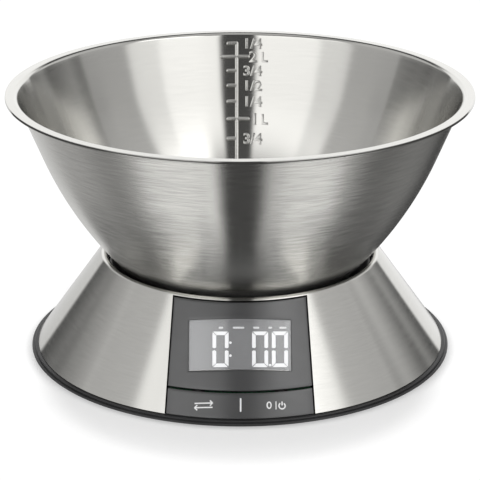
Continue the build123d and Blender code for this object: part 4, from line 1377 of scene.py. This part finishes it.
@dataclass
class Display:
    """The lit display behind the window: its face, seven-segment figures and small flags.

    Attributes:
        front: The sloped front.
        depth: Depth of the glass behind the front.
        glass: Width and height of the glass.
        glass_rise: Its lower edge up the slope.
        glass_wall: Its thickness.
        glass_edge: Width of its ground edge.
        digit: Width and height of a figure.
        digit_rise: Lower edge of the figures up the slope.
        digit_starts: Left edges of the figures.
        stroke: Width of a segment.
        split: Gap between segments.
        colon_x: Sideways place of the colon.
        colon_rises: Its two dots up the slope.
        dot: Place of the point between the last two figures.
        dot_radius: Radius of every dot.
        flags: Middle and width of each small flag over the figures.
        flag_rise: The flags' middle up the slope.
        flag_height: Their height.
    """

    front: Front
    depth: float = 6.4
    glass: Pair = (52.8, 30.6)
    glass_rise: float = 8.7
    glass_wall: float = 2.2
    glass_edge: float = 0.25
    digit: Pair = (7.7, 17.5)
    digit_rise: float = 13.3
    digit_starts: tuple[float, ...] = (-13.2, 5.8, 15.3)
    stroke: float = 1.75
    split: float = 0.34
    colon_x: float = -4.6
    colon_rises: Pair = (18.9, 25.3)
    dot: Pair = (14.45, 14.2)
    dot_radius: float = 0.62
    flags: tuple[Pair, ...] = (
        (-9.2, 2.2), (-0.7, 5.6), (7.8, 3.0), (14.5, 1.8), (20.6, 3.4),
    )
    flag_rise: float = 32.7
    flag_height: float = 0.95

    def plate(self) -> Surface:
        """The glass: a flat plate with a ground edge."""
        half, tall, cut = self.glass[0] / 2, self.glass[1], self.glass_edge
        x = np.concatenate([[-half, -half + cut], np.linspace(-half, half, 20)[1:-1], [half - cut, half]])
        v = np.concatenate([[0, cut], np.linspace(0, tall, 14)[1:-1], [tall - cut, tall]])
        across, up = np.meshgrid(x, v)
        inner = np.minimum(half - np.abs(across), np.minimum(up, tall - up)) > cut / 2
        depth = self.depth + np.where(inner, 0.0, cut)
        front = grid(self.front.flat(across, up + self.glass_rise, depth))
        s, c = self.front.slope
        return front.thickened(np.tile([0.0, -s, c], (len(front.points), 1)), self.glass_wall - cut)

    def segments(self, start: float) -> list[np.ndarray]:
        """The six lit segments of a nought: mitred at the corners, pointed at half height."""
        (w, h), t, g = self.digit, self.stroke, self.split
        top = np.array([[g, h], [t + g * 0.6, h - t], [w - t - g * 0.6, h - t], [w - g, h]])
        waist = h / 2 + t / 2
        side = np.array([[0, h - g], [0, waist], [t / 2, h / 2 + g * 1.5], [t, waist], [t, h - t - g * 0.6]])
        flip_v, flip_x = np.array([1, -1]), np.array([-1, 1])
        shapes = [top, (top * flip_v + (0, h))[::-1]]
        for shape in (side, (side * flip_v + (0, h))[::-1]):
            shapes += [shape, (shape * flip_x + (w, 0))[::-1]]
        return [shape + (start, self.digit_rise) for shape in shapes]

    def build(self) -> None:
        """Makes the glass, the figures, which the bowl doesn't mirror, and the flags."""
        add_piece("display_glass", self.plate(), [FACE], Body.BASE, ["lcd_glass"])
        ink = Print(self.front, self.depth, curved=False)
        lit = [ink.polygon(shape) for start in self.digit_starts for shape in self.segments(start)]
        lit += [ink.disc(self.colon_x, v, self.dot_radius) for v in self.colon_rises]
        lit.append(ink.disc(*self.dot, self.dot_radius))
        figures = add_piece("display_figures", joined(lit), [LIT], Body.BASE)
        figures.visible_glossy = False
        flags = [ink.bar(x, self.flag_rise, width, self.flag_height) for x, width in self.flags]
        add_piece("display_flags", joined(flags), [FLAG], Body.BASE)


@dataclass
class KeyLegends:
    """Plain printed signs on the key: two arrows, a dividing line, a nought and a power sign.

    Attributes:
        front: The sloped front.
        middle: The signs' middle up the slope.
        line: Width of a printed line.
        height: Height of the nought.
        arrows_x: Middle of the arrows.
        arrow_length: Their length.
        arrow_apart: Half the distance between them.
        barb: Length of an arrowhead, along and across.
        nought_x: Middle of the nought.
        nought_half: Half its width.
        stroke_x: Middle of the stroke behind it.
        power_x: Middle of the power sign.
        power_gap: Where its ring starts and ends, in degrees.
        divider: Lower and upper end of the line between the key's ends.
    """

    front: Front
    middle: float = -6.2
    line: float = 0.62
    height: float = 3.6
    arrows_x: float = -17.4
    arrow_length: float = 8.6
    arrow_apart: float = 1.05
    barb: float = 1.25
    nought_x: float = 13.9
    nought_half: float = 0.95
    stroke_x: float = 17.2
    power_x: float = 20.1
    power_gap: Pair = (125.0, 415.0)
    divider: Pair = (-9.6, -2.9)

    def arrow(self, ink: Print, v: float, way: float) -> list[Surface]:
        """A slim arrow along x."""
        half, barb = self.arrow_length / 2, self.barb
        tip = self.arrows_x + way * half
        shaft = np.linspace([self.arrows_x - way * half, v], [tip - way * 0.3, v], 12)
        head = np.array([[tip - way * barb, v + barb], [tip, v], [tip - way * barb, v - barb]])
        fine = np.concatenate([np.linspace(head[0], head[1], 5), np.linspace(head[1], head[2], 5)[1:]])
        return [ink.ribbon(shaft, self.line), ink.ribbon(fine, self.line)]

    def build(self) -> None:
        """Prints the signs on the key."""
        ink = Print(self.front, 0.0, curved=True)
        angle = np.linspace(0, 2 * pi, 40, endpoint=False)
        half = (self.height - self.line) / 2
        oval = np.stack([self.nought_half * np.cos(angle), half * np.sin(angle)], axis=1)
        nought = oval + (self.nought_x, self.middle)
        ring = bend((self.power_x, self.middle - 0.15), half, *self.power_gap, 39)
        signs = [s for way in (1.0, -1.0) for s in self.arrow(ink, self.middle + way * self.arrow_apart, way)]
        signs += [
            ink.ribbon(nought, self.line, closed=True),
            ink.bar(self.stroke_x, self.middle, 0.45, self.height + 0.4),
            ink.ribbon(ring, self.line),
            ink.bar(self.power_x, self.middle + 1.0, self.line, 2.0),
            ink.bar(0.3, sum(self.divider) / 2, 0.75, self.divider[1] - self.divider[0]),
        ]
        add_piece("key_signs", joined(signs), [INK], Body.KEY)


@dataclass
class LoadCell:
    """The beam that bends under the dish: one end stays with the base, the other sinks with the platform.

    Attributes:
        foot: Height of the beam's underside.
        length: Its length.
        section: Its height and its depth.
        eye: Radius of each of the two eyes through it.
        eye_x: Distance of an eye from the middle.
        slot: Height of the slot between the eyes.
        clamp: Distance of the clamped ends from the middle; not used.
    """

    foot: float = 7.7
    length: float = 75.0
    section: float = 12.7
    eye: float = 4.4
    eye_x: float = 6.5
    slot: float = 4.0
    clamp: float = 17.5

    def beam(self) -> Surface:
        """A ring between the bar's edge and the double eye, as deep as it is high.

        With t from 0 to pi, the eye's upper edge is x = -(eye_x + eye) cos t at the height
        max(slot / 2, (eye^2 - (|x| - eye_x)^2)^(1/2)) over the middle; the bar's upper edge runs in step,
        and the lower edges are the upper ones turned by half a turn.
        """
        half, t = self.section / 2, np.linspace(0, pi, 97)
        x = -(self.eye_x + self.eye) * np.cos(t)
        high = np.sqrt(np.maximum(self.eye**2 - (np.abs(x) - self.eye_x) ** 2, 0))
        high = np.where(np.abs(x) < self.eye_x, np.maximum(high, self.slot / 2), high)
        upper = np.stack([x, high], axis=1)
        top = np.stack([-self.length / 2 * np.cos(t), 0 * t + half], axis=1)
        inner, outer = np.concatenate([upper, -upper]), np.concatenate([top, -top])
        loops = ((outer, -half), (outer, half), (inner, half), (inner, -half))
        rows = [np.stack([a[:, 0], 0 * a[:, 0] + y, a[:, 1] + self.foot + half], axis=1) for a, y in loops]
        return grid(np.stack(rows), closed_rows=True, closed_columns=True)

    def build(self) -> None:
        """Makes the beam, which rides on neither body."""
        beam = add_piece("bending_beam", self.beam(), [ALUMINIUM], None, ["load_cell"])
        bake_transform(beam)


@dataclass
class Underside:
    """What shows from below: four rubber feet and the screws' heads.

    Attributes:
        foot_radius: Radius of a foot.
        foot_height: Height of a foot.
        foot_circle: Radius of the circle that the feet stand on.
        foot_angles: Their places on it, in degrees.
        screw_circle: Radius of the circle that the cover's screws stand on.
        screw_angles: Their places on it, in degrees.
        cover_screw: Head radius, head height, shank radius, shank length and seat height of such a screw.
        cell_screw: The same for the load cell's screws.
        cell_holes: Distances of the load cell's screws from the middle.
    """

    foot_radius: float = 7.0
    foot_height: float = 2.2
    foot_circle: float = 88.0
    foot_angles: tuple[float, ...] = (45.0, 135.0, 225.0, 315.0)
    screw_circle: float = 84.0
    screw_angles: tuple[float, ...] = (20.0, 160.0, 215.0, 325.0)
    cover_screw: ScrewSize = (3.0, 1.5, 1.5, 12.0, 4.4)
    cell_screw: ScrewSize = (3.5, 2.2, 2.0, 11.1, 3.6)
    cell_holes: Pair = (22.5, 32.5)

    def foot(self) -> Surface:
        """A foot: a round pad with a rounded edge and two shallow rings in its sole."""
        r, h = self.foot_radius, self.foot_height
        rings = [(0, 0.18), (1.2, 0.18), (1.5, 0.0), (2.9, 0.0), (3.1, 0.22), (3.7, 0.22), (3.9, 0.0)]
        rings += [(4.9, 0.0), (5.1, 0.22), (5.6, 0.22), (5.8, 0.0), (r - 0.6, 0.0)]
        edge = bend((r - 0.6, 0.6), 0.6, -90, 0, 6)
        return lathe(profile_of(np.array(rings), edge, run((r, 0.6), (r, h), 3), run((r, h), (0, h), 4)), 96)

    def screw(self, size: ScrewSize) -> Surface:
        """A pan-head screw, head down: the head's face is a disc pressed in by a cross,
        z(rho, a) = depth * step(arm - min(|x|, |y|)) * step(reach - max(|x|, |y|)).

        Args:
            size: Head radius, head height, shank radius, shank length, height of the head's seat.

        Returns:
            The screw, on the axis.
        """
        head, tall, shank, length, seat = size
        low, end, edge = seat - tall, seat + length, head * 0.1
        face = np.concatenate([np.linspace(0.02, 0.72, 22), np.linspace(0.72, 0.9, 4)[1:]]) * head
        section = profile_of(
            np.array([[0.0, low]]),
            np.stack([face, 0 * face + low], axis=1),
            bend((head * 0.9, low + edge), edge, -90, 0, 4),
            run((head, seat), (shank, seat), 1),
            run((shank, seat), (shank, end - 1), 1),
            np.array([[shank * 0.25, end], [0.0, end]]),
        )
        made = lathe(section, 96)
        x, y = np.abs(made.points[:, :2]).T
        arm, reach = 0.15 * head, 0.6 * head
        slot = np.clip((arm - np.minimum(x, y)) / 0.12 + 0.5, 0, 1)
        slot *= np.clip((reach - np.maximum(x, y)) / 0.2 + 0.5, 0, 1)
        made.points[:, 2] += np.where(made.points[:, 2] < low + 1e-9, slot * tall * 0.55, 0.0)
        return made

    def build(self) -> None:
        """Makes the feet and the screws."""
        for number, (x, y) in enumerate(self.round_axis(self.foot_circle, self.foot_angles), 1):
            pad = self.foot().moved(x, y, 0)
            add_piece(f"rubber_foot_{number}", pad, [RUBBER], Body.BASE, [f"foot_{number}"])
        cover_spots = self.round_axis(self.screw_circle, self.screw_angles)
        cell_spots = [(-x, 0.0) for x in self.cell_holes]
        for name, node, size, spots in (
            ("cover_screw_set", "cover_screws", self.cover_screw, cover_spots),
            ("cell_screw_set", "cell_base_screws", self.cell_screw, cell_spots),
        ):
            made = joined([self.screw(size).moved(x, y, 0) for x, y in spots])
            add_piece(name, made, [ZINC], Body.BASE, [node])

    @staticmethod
    def round_axis(circle: float, angles: Sequence[float]) -> list[Pair]:
        """x and y of places on a circle."""
        return [(circle * cos(radians(a)), circle * sin(radians(a))) for a in angles]


# Studio


@dataclass(frozen=True)
class Softbox:
    """A lit or dark field of the studio, by direction.

    Attributes:
        side: Where it starts and ends to the right of the camera's side, in degrees.
        rise: Where it starts and ends above the horizon, in degrees.
        level: How much light it adds.
        side_edge: Widths of its soft edges at both ends of side, in degrees.
        rise_edge: The same for rise.
    """

    side: Pair
    rise: Pair
    level: float
    side_edge: Pair
    rise_edge: Pair

    def share(self, graph: Graph, side: Value, rise: Value) -> Value:
        """How far a direction lies within the field: the product of its four soft edges."""
        inside = 1.0
        for place, limits, edges in ((side, self.side, self.side_edge), (rise, self.rise, self.rise_edge)):
            (low, high), (soft_low, soft_high) = limits, edges
            inside = inside * graph.ramp(place, low - soft_low / 2, low + soft_low / 2)
            inside = inside * (1.0 - graph.ramp(place, high - soft_high / 2, high + soft_high / 2))
        return inside


@dataclass
class Studio:
    """Pale floor, white surround, soft light and the camera.

    Attributes:
        camera: The camera's place, in metres.
        pitch: How far it looks down, in degrees.
        lens: Focal length for a 36 mm sensor.
        base: Light from everywhere.
        boxes: The studio's fields.
        lamp: Place of the lamp over the floor, in metres.
        lamp_size: Its width, in metres.
        lamp_power: Its power, in watts.
        floor_white: How much light the floor gives back.
        floor_glow: How much light it adds.
        floor_radius: Its radius.
        dome_radius: Radius of the white surround.
        shade_middle: y of the middle of the circle that keeps the shadow, in metres; past it the shadow is
            painted over with plain white.
        shade_edge: Where this circle's soft edge starts and ends, in metres.
        contact: The same for the shadow close round the base.
        back_shade: The same for the shadow behind the base.
        back_start: y where the shadow behind starts softly, in metres.
    """

    camera: tuple[float, float, float] = (0.0, -0.9949, 0.4238)
    pitch: float = 20.286
    lens: float = 154.37
    base: float = 0.075
    boxes: tuple[Softbox, ...] = tuple(Softbox(*row) for row in (
        ((-76, -16.5), (-74, -14), 0.74, (36, 6), (12, 8)),
        ((19, 79), (-74, -14), 0.5, (8, 24), (12, 8)),
        ((40, 80), (-74, -14), 0.17, (16, 20), (12, 8)),
        ((-25, -16.5), (-74, -14), 0.5, (8, 3), (12, 8)),
        ((20.5, 32), (-74, -14), 0.24, (4, 8), (12, 8)),
        ((-60, -24), (-44, -14), 1.15, (10, 8), (8, 8)),
        ((26, 60), (-44, -14), 1.35, (8, 10), (8, 8)),
        ((-143, -92), (-39, -20), 0.36, (4, 16), (16, 10)),
        ((-118, -86), (-50, -20), 0.14, (12, 10), (8, 10)),
        ((-143, -80), (-85, -20), 0.12, (4, 10), (10, 10)),
        ((88, 143), (-85, -20), 0.07, (10, 4), (10, 10)),
        ((88, 143), (-42, -20), 0.1, (10, 4), (10, 10)),
        ((11.8, 66.5), (4, 48), 1.125, (4, 5), (8, 14)),
        ((11.8, 47.5), (4, 48), 0.35, (4, 4), (8, 14)),
        ((11.8, 67), (34, 48), 0.25, (4, 5), (8, 14)),
        ((-65.5, -9.5), (4, 48), 1.025, (5, 4), (8, 14)),
        ((-47, -9.5), (4, 48), 0.413, (4, 4), (8, 14)),
        ((-66.5, -9.5), (34, 48), 0.45, (5, 4), (8, 14)),
        ((26, 70), (43.5, 58), 1.812, (14, 6), (4, 8)),
        ((66.5, 97), (12, 62), 0.525, (5, 3), (14, 14)),
        ((66.5, 97), (30, 62), 0.1, (5, 3), (8, 14)),
        ((97, 140), (20, 62), 0.625, (3, 6), (20, 14)),
        ((105, 140), (13, 30), 0.288, (8, 6), (8, 8)),
        ((127, 143), (5, 22), 0.325, (8, 4), (6, 8)),
        ((-97, -65.5), (11, 62), 0.55, (3, 5), (14, 14)),
        ((-97, -65.5), (30, 62), 0.075, (3, 5), (8, 14)),
        ((-140, -97), (18, 62), 0.625, (6, 3), (18, 14)),
        ((-143, -112), (10, 26), 0.088, (4, 10), (6, 8)),
        ((-143, -124), (4, 20), 0.112, (4, 8), (6, 8)),
        ((143, 190), (-17, 30), 1, (4, 1), (8, 10)),
        ((-190, -143), (-36, 30), 0.725, (1, 4), (10, 10)),
        ((146, 190), (6, 28), 0.25, (6, 1), (8, 10)),
        ((-190, -146), (6, 28), 0.5, (1, 6), (8, 10)),
        ((-190, 190), (66, 100), 0.625, (1, 1), (16, 1)),
        ((-190, 190), (0, 100), 0.019, (1, 1), (10, 1)),
    ))
    lamp: tuple[float, float, float] = (0.0, 0.2, 1.3)
    lamp_size: float = 0.6
    lamp_power: float = 13.0
    floor_white: float = 0.5
    floor_glow: float = 0.45
    floor_radius: float = 6000.0
    dome_radius: float = 5900.0
    shade_middle: float = -0.049
    shade_edge: Pair = (0.086, 0.107)
    contact: Pair = (0.108, 0.114)
    back_shade: Pair = (0.11, 0.16)
    back_start: Pair = (0.04, 0.1)

    def light(self) -> None:
        """Paints the studio's fields on the world, by azimuth and elevation."""
        world = bpy.data.worlds.new("studio")
        world.use_nodes = True
        bpy.context.scene.world = world
        graph = Graph(world.node_tree)
        x, y, z = graph.split(graph.out(graph.node("TexCoord", {}, {}), "Generated"))
        side = graph.math("ARCTAN2", x, y * -1.0) * (180 / pi)
        rise = graph.math("ARCSINE", z) * (180 / pi)
        total = sum((box.share(graph, side, rise) * box.level for box in self.boxes), self.base)
        colour = graph.mix(total, grey(0.0), grey(1.0), clamp=False)
        lamp = graph.node("Background", {}, {"Color": colour, "Strength": 1.0})
        graph.node("OutputWorld", {}, {"Surface": graph.out(lamp)})
        self.top_light()

    def top_light(self) -> None:
        """A soft lamp over the back of the object, which gives the floor its light and its shadow."""
        data = bpy.data.lights.new("top_light", "AREA")
        data.shape, data.size, data.energy = "DISK", self.lamp_size, self.lamp_power
        lamp = bpy.data.objects.new("top_light", data)
        lamp.location = self.lamp
        lamp.rotation_euler = (atan2(-self.lamp[1], self.lamp[2]), 0.0, 0.0)
        lamp.visible_glossy = False
        bpy.context.scene.collection.objects.link(lamp)

    def floor(self) -> None:
        """A pale floor that keeps the shadow only within a painted outline, and a white dome that only the
        camera sees.
        """
        radius = np.linspace(0, 1, 40) ** 2 * self.floor_radius
        disc = lathe(np.stack([radius, 0 * radius], axis=1), 96)
        disc.tris, disc.quads = disc.tris[:, ::-1], disc.quads[:, ::-1]
        ground = self.stage_piece("floor", disc, self.ground_shader)
        ground.visible_glossy = False
        dome = lathe(bend((0, 0), self.dome_radius, -90, 90, 47)[1:-1], 96)
        shell = self.stage_piece("surround", dome, self.surround_shader)
        for kind in ("diffuse", "glossy", "shadow", "volume_scatter"):
            setattr(shell, "visible_" + kind, False)

    def ground_shader(self, graph: Graph) -> Value:
        """White paint that glows a little and takes the shadow; clear from below.

        Past a circle in front of the base and a narrow field behind it, the floor is painted plain white:
        painted light that covers its cast shadow there and gives the shadow a painted outline.
        """
        x, y, _ = graph.split(graph.place())
        forward = y - self.shade_middle
        past = graph.ramp(graph.math("SQRT", x * x + forward * forward), *self.shade_edge)
        radius = graph.math("SQRT", x * x + y * y)
        off = graph.ramp(radius, *self.contact)
        behind = (1.0 - graph.ramp(radius, *self.back_shade)) * graph.ramp(y, *self.back_start)
        # painted light: where share is 1, plain white emission takes the place of the lit floor and its
        # shadow
        share = past * off * (1.0 - behind)
        lit = graph.node("BsdfDiffuse", {}, {"Color": grey(self.floor_white)})
        own = graph.node("Emission", {}, {"Color": grey(self.floor_glow)})
        shaded = graph.node("AddShader", {}, {0: graph.out(lit), 1: graph.out(own)})
        white = graph.node("Emission", {}, {"Color": grey(1.0), "Strength": 1.05})
        both = graph.node("MixShader", {}, {0: share, 1: graph.out(shaded), 2: graph.out(white)})
        clear = graph.node("BsdfTransparent", {}, {})
        under = graph.out(graph.node("NewGeometry", {}, {}), "Backfacing")
        return graph.out(graph.node("MixShader", {}, {0: under, 1: graph.out(both), 2: graph.out(clear)}))

    def surround_shader(self, graph: Graph) -> Value:
        """Plain white without light."""
        return graph.out(graph.node("Emission", {}, {"Color": grey(1.0)}))

    def stage_piece(
        self, name: str, surface: Surface, shader: Callable[[Graph], Value]
    ) -> bpy.types.Object:
        """A piece of the stage.

        Args:
            name: The piece's name.
            surface: Its shape.
            shader: Adds its shader to a graph.

        Returns:
            The object.
        """
        material = bpy.data.materials.new(name)
        material.use_nodes = True
        graph = Graph(material.node_tree)
        graph.node("OutputMaterial", {}, {"Surface": shader(graph)})
        mesh = mesh_of(name, surface)
        mesh.materials.append(material)
        piece = bpy.data.objects.new(name, mesh)
        bpy.context.scene.collection.objects.link(piece)
        return piece

    def view(self) -> None:
        """Sets the camera at the photograph's place."""
        data = bpy.data.cameras.new("camera")
        data.lens, data.sensor_width = self.lens, 36.0
        data.clip_start, data.clip_end = 0.01, 50.0
        eye = bpy.data.objects.new("camera", data)
        eye.location = self.camera
        eye.rotation_euler = (radians(90 - self.pitch), 0.0, 0.0)
        bpy.context.scene.collection.objects.link(eye)
        bpy.context.scene.camera = eye
        bpy.context.scene.view_settings.view_transform = "Standard"

    def build(self) -> None:
        """Makes the light, the floor and the camera."""
        self.view()
        self.light()
        self.floor()


CAD_FINISHES: dict[Finish, tuple[str, ...]] = {
    BLACK: ("inner_housing", "bottom_cover", "weighing_dish", "battery_door"),
    CHIP: ("circuit_chip", "switch_left", "switch_right"),
    GUIDE: ("backlight",),
    STRIP: ("lcd_connector",),
    LACQUER: ("circuit_board",),
    SEAL_WHITE: ("gauge_seal",),
    ZINC: ("board_screws", "cell_top_screws", "platform_screws"),
    ALUMINIUM: ("cell_base_spacer", "cell_top_spacer", "platform_bracket"),
    NICKEL: ("contact_bridge", "contact_front", "contact_rear", "spring_front", "spring_rear"),
    SHEATH: ("sensor_lead", "battery_lead_front", "battery_lead_rear"),
    WRAP_FRONT: ("battery_front",),
    WRAP_REAR: ("battery_rear",),
}


def main() -> None:
    """Builds the stage and every piece, in order."""
    logging.basicConfig(level=logging.INFO, format="%(message)s")
    Studio().build()
    front = Front()
    cover = SteelCover(front)
    Bowl().build()
    cover.build()
    FrontPanel(front, high=cover.notch_top() - front.gap).build()
    Display(front).build()
    KeyLegends(front).build()
    LoadCell().build()
    Underside().build()
    for finish, nodes in CAD_FINISHES.items():
        for node in nodes:
            dress(node, finish)


if __name__ == "__main__":
    main()
